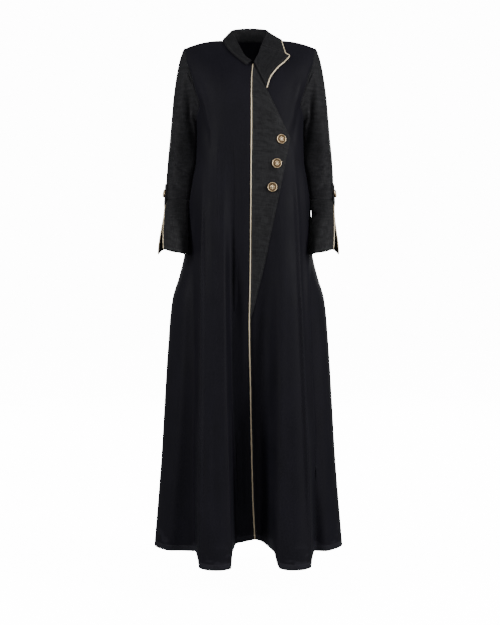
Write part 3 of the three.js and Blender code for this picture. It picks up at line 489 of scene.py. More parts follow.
def cloth_lengths(points, ring):
    """Distances in metres for two layers: from the middle column and the lowest row, and from the edges."""
    wide = np.concatenate([points, points[:, :1]], axis=1) if ring else points
    u = run_across(wide)
    v = run_across(wide[::-1].swapaxes(0, 1)).T[::-1]
    from_middle = u - u[:, u.shape[1] // 2][:, None]
    from_side = np.full(u.shape, NO_SIDE_EDGE) if ring else np.minimum(u, u[:, -1:] - u)
    across_it = {"cloth": from_middle, "edges": from_side}
    return {label: np.stack([distance, v], axis=-1) * MM for label, distance in across_it.items()}


def mesh_object(node, points, faces, layers, material):
    """A smooth mesh from points in millimetres, with UV layers given for each face corner."""
    mesh = bpy.data.meshes.new(f"abaya_{node}")
    mesh.vertices.add(len(points))
    mesh.vertices.foreach_set("co", (np.asarray(points) * MM).ravel())
    corners = faces.ravel()
    mesh.loops.add(len(corners))
    mesh.loops.foreach_set("vertex_index", corners)
    mesh.polygons.add(len(faces))
    size = faces.shape[1]
    mesh.polygons.foreach_set("loop_start", np.arange(len(faces)) * size)
    mesh.polygons.foreach_set("loop_total", np.full(len(faces), size))
    mesh.polygons.foreach_set("use_smooth", np.ones(len(faces), bool))
    mesh.update(calc_edges=True)
    for label, values in layers.items():
        layer = mesh.uv_layers.new(name=label)
        layer.data.foreach_set("uv", values.reshape(-1, 2).ravel().astype(np.float32))
    mesh.validate()
    mesh.materials.append(material)
    return placed(mesh.name, mesh)


def placed(name, data):
    made = bpy.data.objects.new(name, data)
    bpy.context.scene.collection.objects.link(made)
    return made


def dressed(piece, node):
    """Rides the piece on the frame in place of the frame's node."""
    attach(piece, "root")
    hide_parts(node)
    return piece


def reworked(piece, change):
    """The piece's mesh after a change made in Blender's mesh editor."""
    work = bmesh.new()
    work.from_mesh(piece.data)
    change(work)
    work.to_mesh(piece.data)
    work.free()


def weld_ends(work):
    """Joins the points that lie on each other where two rims meet."""
    bmesh.ops.remove_doubles(work, verts=work.verts, dist=1e-6)


def capped(triangles):
    """Adds triangles that close a mesh, and turns all its faces outwards."""

    def change(work):
        work.verts.ensure_lookup_table()
        for corners in triangles:
            work.faces.new([work.verts[corner] for corner in corners]).smooth = True
        bmesh.ops.recalc_face_normals(work, faces=work.faces)

    return change


def fan(hub, start, count):
    """Triangles from a hub to a ring of points, which starts at this one."""
    ring = np.arange(count)
    return np.stack([np.full(count, hub), start + ring, start + (ring + 1) % count], axis=1)


def cells(rows, columns, ring):
    """Row and column of each cell's four corners, and the corners' places in the list of points."""
    i, j = np.meshgrid(np.arange(rows - 1), np.arange(columns if ring else columns - 1), indexing="ij")
    i, j = i.ravel(), j.ravel()
    corner_i, corner_j = np.stack([i, i + 1, i + 1, i], axis=1), np.stack([j, j, j + 1, j + 1], axis=1)
    return corner_i, corner_j, corner_i * columns + corner_j % columns


def cloth_wall(node, outer, thickness, material, ring=False, flip=False):
    """A closed wall: the outer grid, the same moved in, and a rounded rim round the open edges."""
    inner = outer - grid_normals(outer, ring) * (-thickness if flip else thickness)
    rows, columns = outer.shape[:2]
    count = rows * columns
    lengths = cloth_lengths(outer, ring)
    corners = cells(rows, columns, ring)
    corner_i, corner_j, vertex = (ids[:, ::-1] for ids in corners) if flip else corners
    points = [outer.reshape(-1, 3), inner.reshape(-1, 3)]
    faces = [vertex, vertex[:, ::-1] + count]
    layers = {label: [v[corner_i, corner_j], v[corner_i, corner_j][:, ::-1]] for label, v in lengths.items()}

    def rim(row_ids, column_ids, down, aside):
        """A rounded strip from the outer to the inner wall; the cloth lies down or aside of this edge."""
        at = (row_ids, column_ids % columns)
        outward = unit(outer[at] - outer[row_ids + down, (column_ids + aside) % columns])
        ids = np.arange(len(row_ids)) + sum(map(len, points))
        points.append((outer[at] + inner[at]) / 2 + outward * thickness / 2)
        outer_ids = at[0] * columns + at[1]
        for low, high in ((outer_ids, ids), (ids, outer_ids + count)):
            faces.append(np.stack([low[:-1], high[:-1], high[1:], low[1:]], axis=1))
            for label, values in lengths.items():
                here = values[row_ids, column_ids]
                layers[label].append(np.stack([here[:-1], here[:-1], here[1:], here[1:]], axis=1))

    sense = -1 if flip else 1
    across_ids = np.arange(columns + 1 if ring else columns)[::sense]
    down_ids = np.arange(rows)[::sense]
    rim(np.zeros_like(across_ids), across_ids[::-1], 1, 0)
    rim(np.full_like(across_ids, rows - 1), across_ids, -1, 0)
    if not ring:
        rim(down_ids, np.zeros_like(down_ids), 0, 1)
        rim(down_ids[::-1], np.full_like(down_ids, columns - 1), 0, -1)
    merged = {label: np.concatenate([v.reshape(-1, 2) for v in values]) for label, values in layers.items()}
    piece = mesh_object(node, np.concatenate(points), np.concatenate(faces), merged, material)
    reworked(piece, weld_ends)
    return dressed(piece, node)


# ---- Rows and columns of the panels ----
NECK_CELLS = 36
ARM_CELLS = 30
SKIRT_CELLS = 290
BACK_CELLS = 40  # across each shoulder and across the neck
NECK_SHARE = 6 / 11  # of the armhole's length, down to the bottom of the V
neck_turn = math.acos(1 - NECK_DEPTH / -UNDERARM_Z)


def armhole_height(turn):
    return UNDERARM_Z * (1 - np.cos(turn))


def stepped(stops, counts):
    """Even steps from stop to stop, this many in each stretch."""
    runs = [np.linspace(a, b, n + 1)[1:] for a, b, n in zip(stops, stops[1:], counts)]
    return np.concatenate([stops[:1], *runs])


turns = stepped([0, neck_turn, math.pi / 2], [NECK_CELLS, ARM_CELLS])
shares = stepped([0, NECK_SHARE, 1], [NECK_CELLS, ARM_CELLS])
arm_heights = armhole_height(turns)
heights = np.concatenate([arm_heights, np.linspace(UNDERARM_Z, -LENGTH, SKIRT_CELLS + 1)[1:]])
ARM_ROWS = len(arm_heights)


def neck_edge(h, side):
    middle = CENTRE_EDGE[0]["x"]
    out = (1 - np.minimum(1, -h / NECK_DEPTH) ** NECK_CURVE) ** (1 / NECK_CURVE)
    return middle + side * (NECK_HALF - side * middle) * out


def inner_edge(h, side):
    return np.where(h >= -NECK_DEPTH, neck_edge(h, side), centre_edge(h))


def back_neck(x):
    """Height of the panel's top edge across the back of the neck."""
    return -BACK_NECK_DIP * np.sqrt(np.maximum(0, 1 - (x / NECK_HALF) ** 2))


def side_edge(h, side):
    return np.where(h >= UNDERARM_Z, side * armhole(h), side * body("half_width", h) + body("shift", h))


def columns_between(h, lines):
    """Columns between named lines, evenly turned round the body; lines are (x for each row, cells)."""
    angles = [side_angle(x, h) for x, _ in lines]
    columns = [angles[0][:, None]]
    for before, after, (_, count) in zip(angles, angles[1:], lines[1:]):
        columns.append(mix(before[:, None], after[:, None], np.arange(1, count + 1) / count))
    return x_of(np.concatenate(columns, axis=1), h[:, None])


def pulled_in(points, normals, distance):
    """Cloth drawn in towards a seam; distance is from the seam in millimetres."""
    return points - normals * (SEAM["depth"] * bell(distance / SEAM["width"]))[..., None]


def front_right_grid():
    h = heights
    outer, inner = flute("right_outer", h), flute("right_inner", h)
    lines = [
        (side_edge(h, -1), 0),
        (outer - flute("outer_fall", h), 24),
        (outer, 12),
        (inner, 30),
        (inner + flute("right_fall", h), 12),
        (inner_edge(h, -1), 22),
    ]
    return finished_panel(columns_between(h, lines), h, "front", "front_right")


def front_left_grid():
    """The left front, with its underlap a little inside the right front."""
    h = heights
    edge = inner_edge(h, 1)
    outer, inner = flute("left_outer", h), flute("left_inner", h)
    below = smooth((-NECK_DEPTH - h) / UNDERLAP["widens"])
    clear = flute("right_inner", h) + flute("right_fall", h) + UNDERLAP["clear"]
    lines = [
        (np.maximum(edge - UNDERLAP["width"] * below, np.minimum(clear, edge)), 0),
        (edge + UNDERLAP["clear"] * (1 - below), 10),
        (inner - flute("left_fall", h), 10),
        (inner, 22),
        (outer, 30),
        (outer + flute("outer_fall", h), 12),
        (side_edge(h, 1), 24),
    ]
    x = columns_between(h, lines)
    points = finished_panel(x, h, "front", "front_left")
    beside = smooth((x - centre_edge(h)[:, None] - UNDERLAP_STEP["start"]) / UNDERLAP_STEP["width"])
    low = smooth((UNDERLAP_STEP["top"] - h) / UNDERLAP_STEP["run"])[:, None]
    return points - grid_normals(points) * (UNDERLAP["depth"] * (1 - beside) * low)[..., None]


def back_grid():
    share = np.linspace(0, 1, 3 * BACK_CELLS + 1)
    top = np.interp(share, [0, 1 / 3, 2 / 3, 1], [SHOULDER_HALF, NECK_HALF, -NECK_HALF, -SHOULDER_HALF])
    angle = (0.5 - share) * math.pi
    dip = back_neck(top)
    top_turn = np.arccos(1 - dip / UNDERARM_Z)
    turn = mix(top_turn[None, :], math.pi / 2, shares[:, None])
    h_arm = np.where(dip[None, :] == 0, arm_heights[:, None], armhole_height(turn))
    spread = mix(top[None, :] / SHOULDER_HALF, across(angle)[None, :], shares[:, None])
    x_arm = spread * armhole(arm_heights)[:, None]
    h_low = heights[ARM_ROWS:, None]
    x_low = x_of(np.broadcast_to(angle, (len(h_low), len(angle))), h_low)
    x = np.concatenate([x_arm, x_low])
    h = np.concatenate([h_arm, np.broadcast_to(h_low, x_low.shape)])
    return finished_panel(x, h, "back", "back")


def finished_panel(x, h, half, panel):
    """The panel's points, creased and drawn in at its seams."""
    tall = h[:, None] if h.ndim == 1 else h
    even = on_body(x, tall, half)
    normals = grid_normals(even)
    normals[0] = unit(normals[1] + np.array([0, 0, 2.0]))
    points = even + normals * creased(x, tall, panel)[..., None]
    u = run_across(points)
    sides = {"front_right": u, "front_left": u[:, -1:] - u, "back": np.minimum(u, u[:, -1:] - u)}
    return pulled_in(points, normals, sides[panel])


# ---- Shader groups ----
class Wiring:
    """Short calls that add and link the nodes of one tree."""

    def __init__(self, tree):
        self.tree = tree

    def put(self, socket, value):
        if isinstance(value, bpy.types.NodeSocket):
            self.tree.links.new(value, socket)
        elif value is not None:
            socket.default_value = value

    def add(self, kind, inputs=None, **settings):
        """Adds a node with its settings, fills its inputs by name or place, and gives its outputs."""
        made = self.tree.nodes.new("ShaderNode" + kind)
        for label, value in settings.items():
            setattr(made, label, value)
        for label, value in (inputs or {}).items():
            self.put(made.inputs[label], value)
        return made.outputs

    def math(self, operation, *values):
        return self.add("Math", dict(enumerate(values)), operation=operation)[0]

    def times(self, a, b):
        return self.math("MULTIPLY", a, b)

    def plus(self, a, b):
        return self.math("ADD", a, b)

    def less(self, a, b):
        return self.math("SUBTRACT", a, b)

    def size(self, a):
        return self.math("ABSOLUTE", a)

    def both(self, a, share_a, b, share_b):
        """The two in these shares, added."""
        return self.plus(self.times(a, share_a), self.times(b, share_b))

    def ramp(self, value, low, high, to_low=0.0, to_high=1.0):
        ends = dict(enumerate((value, low, high, to_low, to_high)))
        return self.add("MapRange", ends, interpolation_type="SMOOTHSTEP")[0]

    def split(self, vector):
        made = self.add("SeparateXYZ", {0: vector})
        return made["X"], made["Y"]

    def noise(self, vector, scale=1.0, detail=3.0, roughness=0.5):
        inputs = {"Vector": vector, "Scale": scale, "Detail": detail, "Roughness": roughness}
        return self.add("TexNoise", inputs)[0]

    def grain(self, u, v, across, along, seed=0.0, **fineness):
        """Noise over the cloth, with this many waves for each unit of u and of v."""
        place = {0: self.times(u, across), 1: self.times(v, along), 2: seed}
        return self.noise(self.add("CombineXYZ", place)[0], **fineness)

    def ribs(self, a):
        """Round ribs, one for each unit of a."""
        return self.size(self.math("SINE", self.times(a, math.pi)))

    def blend(self, share, a, b):
        return self.add("Mix", {"Factor": share, "A": a, "B": b}, data_type="RGBA")["Result"]

    def uv(self, layer):
        return self.add("UVMap", uv_map=layer)[0]

    def group(self, tree, **inputs):
        return self.add("Group", inputs, node_tree=tree)

    def bump(self, height, distance, strength, normal=None):
        inputs = {"Height": height, "Distance": distance, "Strength": strength, "Normal": normal}
        return self.add("Bump", inputs)[0]


def new_group(name, inputs, outputs):
    """A group's wiring and its two ends. An input with no value is a vector, every other is a number."""
    group = bpy.data.node_groups.new(name, "ShaderNodeTree")
    for label, value in inputs.items():
        kind = "NodeSocketVector" if value is None else "NodeSocketFloat"
        socket = group.interface.new_socket(name=label, in_out="INPUT", socket_type=kind)
        if value is not None:
            socket.default_value = value
    for label in outputs.split():
        group.interface.new_socket(name=label, in_out="OUTPUT", socket_type="NodeSocketFloat")
    start, end = (group.nodes.new("NodeGroup" + kind) for kind in ("Input", "Output"))
    return Wiring(group), start.outputs, end.inputs


def slub_group():
    """Plain weave with slubs both ways: a tone from 0 to 1 and a height."""
    w, start, end = new_group("slub_weave", {"Cloth": None, "Pitch": 0.0011, "Slub": 1.0}, "Tone Height")
    u, v = (w.math("DIVIDE", way, start["Pitch"]) for way in w.split(start["Cloth"]))
    warp = w.grain(u, v, 0.6, 0.05)
    weft = w.grain(u, v, 0.06, 0.6, 7.3)
    broad = w.grain(u, v, 0.05, 0.12, 3.1)
    streaks = w.both(warp, 0.5, weft, 0.5)
    mottled = w.both(streaks, 0.65, broad, 0.35)
    slubs = w.times(w.less(mottled, 0.5), start["Slub"])
    w.put(end["Tone"], w.ramp(w.plus(0.5, w.times(slubs, 2.6)), 0.0, 1.0))
    w.put(end["Height"], w.both(w.times(w.ribs(u), w.ribs(v)), 0.45, streaks, 0.9))
    return w.tree


def crepe_group():
    """Crepe's pebbled grain with a faint thread: a tone from 0 to 1 and a height."""
    w, start, end = new_group("crepe_grain", {"Cloth": None, "Pitch": 0.0008}, "Tone Height")
    u, v = (w.math("DIVIDE", way, start["Pitch"]) for way in w.split(start["Cloth"]))
    pebble = w.grain(u, v, 0.8, 0.55, roughness=0.6)
    thread = w.grain(u, v, 0.9, 0.015, 2.0, detail=2.0)
    cloud = w.grain(u, v, 0.012, 0.008, 5.0)
    w.put(end["Tone"], w.ramp(w.both(thread, 0.45, cloud, 0.55), 0.3, 0.7))
    w.put(end["Height"], w.plus(pebble, w.times(thread, 0.3)))
    return w.tree


def band_group():
    """A turn-up: 1 inside its depth, and a row of stitches where it is sewn down."""
    inputs = {"Distance": 0.0, "Along": 0.0, "Depth": 0.02, "Stitch": 0.003}
    w, start, end = new_group("sewn_band", inputs, "Band Stitches Height")
    distance, depth = start["Distance"], start["Depth"]
    band = w.ramp(w.less(distance, depth), -0.0008, 0.0006, 1.0, 0.0)
    line = w.size(w.less(distance, w.less(depth, 0.0015)))
    on_line = w.ramp(line, 0.0002, 0.0006, 1.0, 0.0)
    step = w.math("FRACT", w.math("DIVIDE", start["Along"], start["Stitch"]))
    dash = w.ramp(w.size(w.less(step, 0.5)), 0.34, 0.42, 1.0, 0.0)
    stitches = w.times(on_line, dash)
    groove = w.ramp(line, 0.0, 0.0016, 1.0, 0.0)
    w.put(end["Band"], band)
    w.put(end["Stitches"], stitches)
    w.put(end["Height"], w.less(w.both(band, 0.5, stitches, 0.7), w.times(groove, 0.7)))
    return w.tree


def patina_group():
    """Tarnish that gathers in a button's hollows: 1 where it is darkest."""
    w, start, end = new_group("patina", {"Place": None, "Raised": 0.0}, "Tarnish Height")
    fine = w.noise(start["Place"], 900.0, 4.0, 0.65)
    hollow = w.ramp(start["Raised"], 0.3, 0.85, 1.0, 0.0)
    w.put(end["Tarnish"], w.ramp(w.both(hollow, 0.95, w.less(fine, 0.5), 0.6), 0.1, 0.9))
    w.put(end["Height"], fine)
    return w.tree


SLUB_GROUP = slub_group()
CREPE_GROUP = crepe_group()
BAND_GROUP = band_group()
PATINA_GROUP = patina_group()

# ---- Materials ----
CREPE_DARK = (0.0036, 0.0034, 0.0053, 1)
CREPE_LIGHT = (0.0054, 0.0050, 0.0078, 1)
TURN_UP = (0.0125, 0.0122, 0.0162, 1)  # the hem's turn-up, where light comes through
LIGHT_THROUGH_THIN = (0.0125, 0.0120, 0.0165, 1)  # painted light showing through thin patches above the hem
CREPE_THREAD = (0.02, 0.02, 0.024, 1)
SLUB_THREAD = (0.03, 0.03, 0.032, 1)
SATIN_DARK = (0.36, 0.28, 0.165, 1)
SATIN_LIGHT = (0.66, 0.57, 0.41, 1)
BRASS = (0.88, 0.70, 0.46, 1)
TARNISH = (0.11, 0.07, 0.035, 1)
HEM_DEPTH = 0.016
END_BAND = 0.007
NO_BAND = -0.01
SIDE_BAND = 0.006


def new_material(name, **plain):
    """A material with its Principled shader's plain numbers set on its own sockets."""
    material = bpy.data.materials.new(name)
    material.use_nodes = True
    shader = material.node_tree.nodes["Principled BSDF"].inputs
    for label, value in plain.items():
        shader[label.replace("_", " ")].default_value = value
    return material, shader, Wiring(material.node_tree)


def crepe_material():
    sheen = {"Sheen_Weight": 0.008, "Sheen_Roughness": 0.35, "Sheen_Tint": (0.8, 0.82, 1.0, 1.0)}
    material, shader, w = new_material("black_crepe", Roughness=0.64, Specular_IOR_Level=0.07, **sheen)
    cloth = w.uv("cloth")
    along_hem, _ = w.split(cloth)
    _, from_hem = w.split(w.uv("edges"))
    grain = w.group(CREPE_GROUP, Cloth=cloth, Pitch=0.0008)
    band = w.group(BAND_GROUP, Distance=from_hem, Along=along_hem, Depth=HEM_DEPTH, Stitch=0.004)
    uneven = w.ramp(w.grain(along_hem, 0.0, 9.0, 0.0, 4.0, detail=2.0), 0.35, 0.65, 0.35, 1.0)
    # Thin patches above the hem, lightened with painted light showing through.
    patches = w.ramp(w.grain(along_hem, from_hem, 17.0, 30.0, 9.0, detail=2.0), 0.55, 0.64)
    light_through_mask = w.times(w.ramp(from_hem, 0.02, 0.085, 1.0, 0.0), patches)
    colour = w.blend(grain["Tone"], CREPE_DARK, CREPE_LIGHT)
    colour = w.blend(w.times(band["Band"], uneven), colour, TURN_UP)
    colour = w.blend(w.times(light_through_mask, 0.5), colour, LIGHT_THROUGH_THIN)
    w.put(shader["Base Color"], w.blend(w.times(band["Stitches"], 0.6), colour, CREPE_THREAD))
    w.put(shader["Roughness"], w.ramp(grain["Tone"], 0.0, 1.0, 0.58, 0.68))
    sewn = w.bump(band["Height"], 0.0004, 0.7)
    w.put(shader["Normal"], w.bump(grain["Height"], 0.00025, 0.55, sewn))
    return material


def slub_material(name, band_depth, dark, light):
    sheen = {"Sheen_Weight": 0.015, "Sheen_Roughness": 0.4, "Sheen_Tint": (0.92, 0.94, 1.0, 1.0)}
    material, shader, w = new_material(name, Roughness=0.7, Specular_IOR_Level=0.12, **sheen)
    cloth = w.uv("cloth")
    along_u, along_v = w.split(cloth)
    from_side, from_end = w.split(w.uv("edges"))
    weave = w.group(SLUB_GROUP, Cloth=cloth, Pitch=0.0011, Slub=1.0)
    end_band = w.group(BAND_GROUP, Distance=from_end, Along=along_u, Depth=band_depth, Stitch=0.003)
    side_band = w.group(BAND_GROUP, Distance=from_side, Along=along_v, Depth=SIDE_BAND, Stitch=0.003)
    stitches = w.math("MAXIMUM", end_band["Stitches"], side_band["Stitches"])
    colour = w.blend(weave["Tone"], dark, light)
    w.put(shader["Base Color"], w.blend(w.times(stitches, 0.5), colour, SLUB_THREAD))
    w.put(shader["Roughness"], w.ramp(weave["Tone"], 0.0, 1.0, 0.78, 0.58))
    sewn = w.bump(w.plus(end_band["Height"], side_band["Height"]), 0.0004, 0.6)
    w.put(shader["Normal"], w.bump(weave["Height"], 0.0005, 0.7, sewn))
    return material


def satin_material():
    finish = {"Roughness": 0.42, "Metallic": 0.15, "Sheen_Weight": 0.2, "Sheen_Roughness": 0.3}
    material, shader, w = new_material("champagne_satin", Specular_IOR_Level=0.5, **finish)
    round_it, along_it = w.split(w.uv("cloth"))
    # The cord's ribs raise its surface and darken its colour in their grooves (painted shade), mixed with
    # random grain.
    rib_relief_and_groove_shade = w.ribs(w.both(along_it, 700.0, round_it, 500.0))
    tone = w.both(rib_relief_and_groove_shade, 0.35, w.grain(round_it, along_it, 300.0, 60.0), 0.65)
    w.put(shader["Base Color"], w.blend(tone, SATIN_DARK, SATIN_LIGHT))
    w.put(shader["Normal"], w.bump(rib_relief_and_groove_shade, 0.0002, 0.5))
    return material


def brass_material():
    material, shader, w = new_material("antique_brass", Roughness=0.42, Metallic=0.9, Specular_IOR_Level=0.5)
    raised, _ = w.split(w.uv("relief"))
    patina = w.group(PATINA_GROUP, Place=w.add("TexCoord")["Object"], Raised=raised)
    w.put(shader["Base Color"], w.blend(patina["Tarnish"], BRASS, TARNISH))
    w.put(shader["Roughness"], w.ramp(patina["Tarnish"], 0.0, 1.0, 0.42, 0.7))
    w.put(shader["Normal"], w.bump(patina["Height"], 0.00008, 0.4))
    return material


crepe = crepe_material()
slub = slub_material("black_slub", END_BAND, (0.0042, 0.0042, 0.0048, 1), (0.0120, 0.0120, 0.0132, 1))
# The sleeves' slub is a darker copy of the same cloth: painted shade.
SLEEVE_SHADED_TONES = ((0.0036, 0.0036, 0.0044, 1), (0.0096, 0.0095, 0.0110, 1))
# The collar's slub is a darker copy of the same cloth: painted shade.
COLLAR_SHADED_TONES = ((0.0030, 0.0030, 0.0036, 1), (0.0078, 0.0078, 0.0088, 1))
shaded_sleeve_slub = slub_material("black_slub_sleeve_shaded", NO_BAND, *SLEEVE_SHADED_TONES)
shaded_collar_slub = slub_material("black_slub_collar_shaded", END_BAND, *COLLAR_SHADED_TONES)
satin = satin_material()
brass = brass_material()

# ---- The three panels ----
right_points = front_right_grid()
left_points = front_left_grid()
back_points = back_grid()
cloth_wall("front_right", right_points, CREPE, crepe)
cloth_wall("front_left", left_points, CREPE, crepe)
cloth_wall("back", back_points, CREPE, crepe)


# ---- The overlap flap ----
FLAP_CREASES = table(
    CREASE,
    (20, -150, 26, -330, 3, 12, 18, -3.0),
    (60, -330, 40, -560, -4, 12, 18, -3.2),
    (30, -400, 22, -640, 3, 9, 14, 3.0),
    (78, -240, 70, -420, 4, 12, 16, 2.6),
)
FLAP_GAP = 0.4  # from the panel below to the flap's inside
FLAP_LIFT = {"rise": 1.6, "reach": 70, "below_apex": 20, "height": 90, "creases": 0.35}
FLAP_EDGE_GAP = 0.8  # from the piping to the flap's edge
FLAP_LEAST_WIDTH = 0.6
FLAP_ROWS = [60, 150]  # above and below the apex
FLAP_COLUMNS = 49


def flap_grid():
    """Rows down the flap from its upper corner to its tip, each from the piped edge to the cut edge."""
    apex_x, apex_z = FLAP_APEX["x"], FLAP_APEX["z"]
    z = stepped([FLAP_TOP_Z, apex_z, FLAP_TIP_Z], FLAP_ROWS)
    left = centre_edge(z) + PIPING_RADIUS + FLAP_EDGE_GAP
    slope = (apex_x - left[0] - 1) / (apex_z - FLAP_TOP_Z)
    rising = left[0] + 1 + slope * (z - FLAP_TOP_Z)
    corners = [FLAP_APEX, *FLAP_LOWER_EDGE, {"z": FLAP_TIP_Z, "x": float(left[-1]) + FLAP_LEAST_WIDTH}]
    falling = np.interp(-z, [-row["z"] for row in corners], [row["x"] for row in corners])
    right = np.where(z > apex_z, rising, falling)
    right = np.maximum(right, left + FLAP_LEAST_WIDTH)
    x = mix(left[:, None], right[:, None], np.linspace(0, 1, FLAP_COLUMNS))
    tall = np.broadcast_to(z[:, None], x.shape)
    about = (tall - apex_z - FLAP_LIFT["below_apex"]) / FLAP_LIFT["height"]
    free = smooth((x - left[:, None]) / FLAP_LIFT["reach"]) * bell(about)
    lift = FLAP_GAP + SLUB + FLAP_LIFT["rise"] * free
    return off_body(x, tall, "front", lift + FLAP_LIFT["creases"] * crease_field(x, tall, FLAP_CREASES))


cloth_wall("flap", flap_grid(), SLUB, slub)


# ---- Collar and lapel ----
# A station is a place along the neck seam, 0 at its right V corner and 20 at its left one
RIGHT_SHOULDER, LEFT_SHOULDER = 6, 14  # the stations of the shoulder necks
FOLD = {
    "wide_at": (6.6, 13.4),  # stations where the leaf stands further off
    "foot_top": -0.4,
    "foot": (0, 0.6, -1.5),  # from the seam to the strip's foot
    "lean": 10,
    "turn": 1.3,  # the roll's height, in radii
    "held_off_at": (0.33, 0.68),  # shares of the fall
    "extra": 3,  # how much more the fall stands off near the roll
}


def neck_seam(station):
    """x, h and half of the neck seam at a station."""
    right, left = station <= RIGHT_SHOULDER, station >= LEFT_SHOULDER
    down = np.where(right, RIGHT_SHOULDER - station, np.where(left, station - LEFT_SHOULDER, 0))
    h_front = armhole_height(neck_turn * down / RIGHT_SHOULDER)
    round_back = (station - RIGHT_SHOULDER) / (LEFT_SHOULDER - RIGHT_SHOULDER)
    x_back_neck = -NECK_HALF + round_back * 2 * NECK_HALF
    x = np.where(right, neck_edge(h_front, -1), np.where(left, neck_edge(h_front, 1), x_back_neck))
    in_front = right | left
    return x, np.where(in_front, h_front, back_neck(x_back_neck)), "front" if in_front else "back"


def height_on(x, z, half):
    """The panel height whose point stands at z."""
    h = z
    for _ in range(8):
        high = max(0.0, 1 - min(0.0, h) / UNDERARM_Z)
        h = z - high * float(shoulder_rise(x, h, half))
    return h


def spline(points, steps):
    """A smooth curve through points, with this many steps in each stretch."""
    padded = np.concatenate([[2 * points[0] - points[1]], points, [2 * points[-1] - points[-2]]])
    out = []
    for n in range(1, len(padded) - 2):
        p0, p1, p2, p3 = padded[n - 1 : n + 3]
        t = np.linspace(0, 1, steps, endpoint=False)[:, None]
        out.append(hermite(t, p1, (p2 - p0) / 2, p2, (p3 - p1) / 2))
    return np.concatenate(out + [points[-1:]])


def folded_strip(rows, stations, steps=5):
    """A strip of cloth from the neck seam up to its roll and down to the leaf's edge."""
    sections = []
    for station in stations:
        x, h, half = neck_seam(station)
        columns = ("roll_x", "roll_y", "roll_z", "edge_x", "edge_h")
        *roll, edge_x, edge_h = (float(along(rows, "station", column, station)) for column in columns)
        near_shoulder = sum(bell(station - wide) for wide in FOLD["wide_at"])
        edge = off_body(edge_x, edge_h, half, LEAF_CLEARANCE + SHOULDER_CLEARANCE * near_shoulder)
        foot = on_body(x, min(float(h), FOLD["foot_top"]), half) + np.array(FOLD["foot"])
        out = np.array([foot[0], foot[1] - FOLD["lean"], 0.0])
        out *= ROLL_RADIUS / np.linalg.norm(out)
        down = foot - roll
        down *= FOLD["turn"] * ROLL_RADIUS / np.linalg.norm(down)
        inner_turn, start = roll + down - out, roll + down + out
        fall = []
        for t in FOLD["held_off_at"]:
            point = mix(start, edge, t)
            level = height_on(point[0], point[2], half)
            if level < -2:
                clear = off_body(point[0], level, half, LEAF_CLEARANCE + FOLD["extra"] * (1 - t))
                sense = -1 if half == "front" else 1
                if (clear[1] - point[1]) * sense > 0:
                    point[1] = clear[1]
            fall.append(point)
        path = np.array([foot, mix(foot, inner_turn, 0.5), inner_turn, roll, start, *fall, edge])
        sections.append(spline(path, steps))
    return np.stack(sections, axis=1)


def softened(grid, times, axis=0):
    """The grid evened out along one way, its ends kept."""
    grid = np.moveaxis(grid.copy(), axis, 0)
    for _ in range(times):
        grid[1:-1] = 0.5 * grid[1:-1] + 0.25 * (grid[:-2] + grid[2:])
    return np.moveaxis(grid, 0, axis)


COLLAR_STATIONS = np.linspace(18, 0.3, 150)
collar_grid = softened(folded_strip(COLLAR, COLLAR_STATIONS), 6, axis=1)
lapel_grid = folded_strip(LAPEL, np.linspace(19.93, 18.06, 61))
cloth_wall("collar", collar_grid, SLUB, shaded_collar_slub, flip=True)
cloth_wall("lapel", lapel_grid, SLUB, shaded_collar_slub, flip=True)


# ---- Piping ----
CORD_SIDES = 12


def cord(node, points, radius=PIPING_RADIUS):
    """A round cord along a smooth line, with rounded ends."""
    tangents = unit(np.gradient(points, axis=0))
    side = unit(np.cross(tangents[0], [0.3, 1, 0.2]))
    frames = []
    for tangent in tangents:
        side = unit(side - tangent * np.dot(side, tangent))
        frames.append((side, np.cross(tangent, side)))
    reach = run_across(points)
    from_end = np.minimum(reach, reach[-1] - reach)
    widths = radius * np.sqrt(np.clip(1 - (1 - np.minimum(from_end / radius, 1)) ** 2, 0.03, 1))
    turn = np.linspace(0, 2 * math.pi, CORD_SIDES, endpoint=False)
    spokes = np.stack([np.cos(turn), np.sin(turn)], axis=1)
    rings = points[:, None] + widths[:, None, None] * (spokes @ np.array(frames))
    vertices = np.concatenate([rings.reshape(-1, 3), points[:1], points[-1:]])
    corner_i, corner_j, faces = (ids[:, [0, 3, 2, 1]] for ids in cells(len(points), CORD_SIDES, True))
    uv = np.stack([corner_j / CORD_SIDES * 2 * math.pi * radius, reach[corner_i]], axis=-1) * MM
    piece = mesh_object(node, vertices, faces, {"cloth": uv}, satin)
    hub = len(points) * CORD_SIDES
    ends = [fan(hub, 0, CORD_SIDES), fan(hub + 1, hub - CORD_SIDES, CORD_SIDES)]
    reworked(piece, capped(np.concatenate(ends)))
    return dressed(piece, node)


def evenly(points, spacing):
    """The same line with points this far apart."""
    reach = run_across(points)
    at = np.linspace(0, reach[-1], max(4, int(reach[-1] / spacing)))
    return np.stack([np.interp(at, reach, points[:, k]) for k in range(3)], axis=1)


def leaf_edge(grid):
    """The cord's middle line beside the leaf's edge."""
    return grid[-1] + unit(grid[-1] - grid[-3]) * (PIPING_RADIUS * 0.8)


centre_line = right_points[NECK_CELLS:, -1] + np.array([PIPING_RADIUS + 0.1, -0.2, 0])
piped = COLLAR_STATIONS >= PIPED_COLLAR_END
leaf_line = np.concatenate([leaf_edge(lapel_grid), leaf_edge(collar_grid)[piped]])
cord("piping_front", softened(evenly(centre_line, 4), 4))
cord("piping_lapel", softened(evenly(leaf_line, 2.5), 3))


# ---- Sleeves, cuffs and tabs; side is -1 for the wearer's right, 1 for the left ----
def twist(z):
    return SLIT["turn"] * smooth((SLEEVE[0]["z"] - z) / (SLEEVE[0]["z"] - TAB["top"]))


SECTION = 0.84  # below 1, a level section is fuller than an ellipse


def squared(number, power):
    return np.sign(number) * np.abs(number) ** power


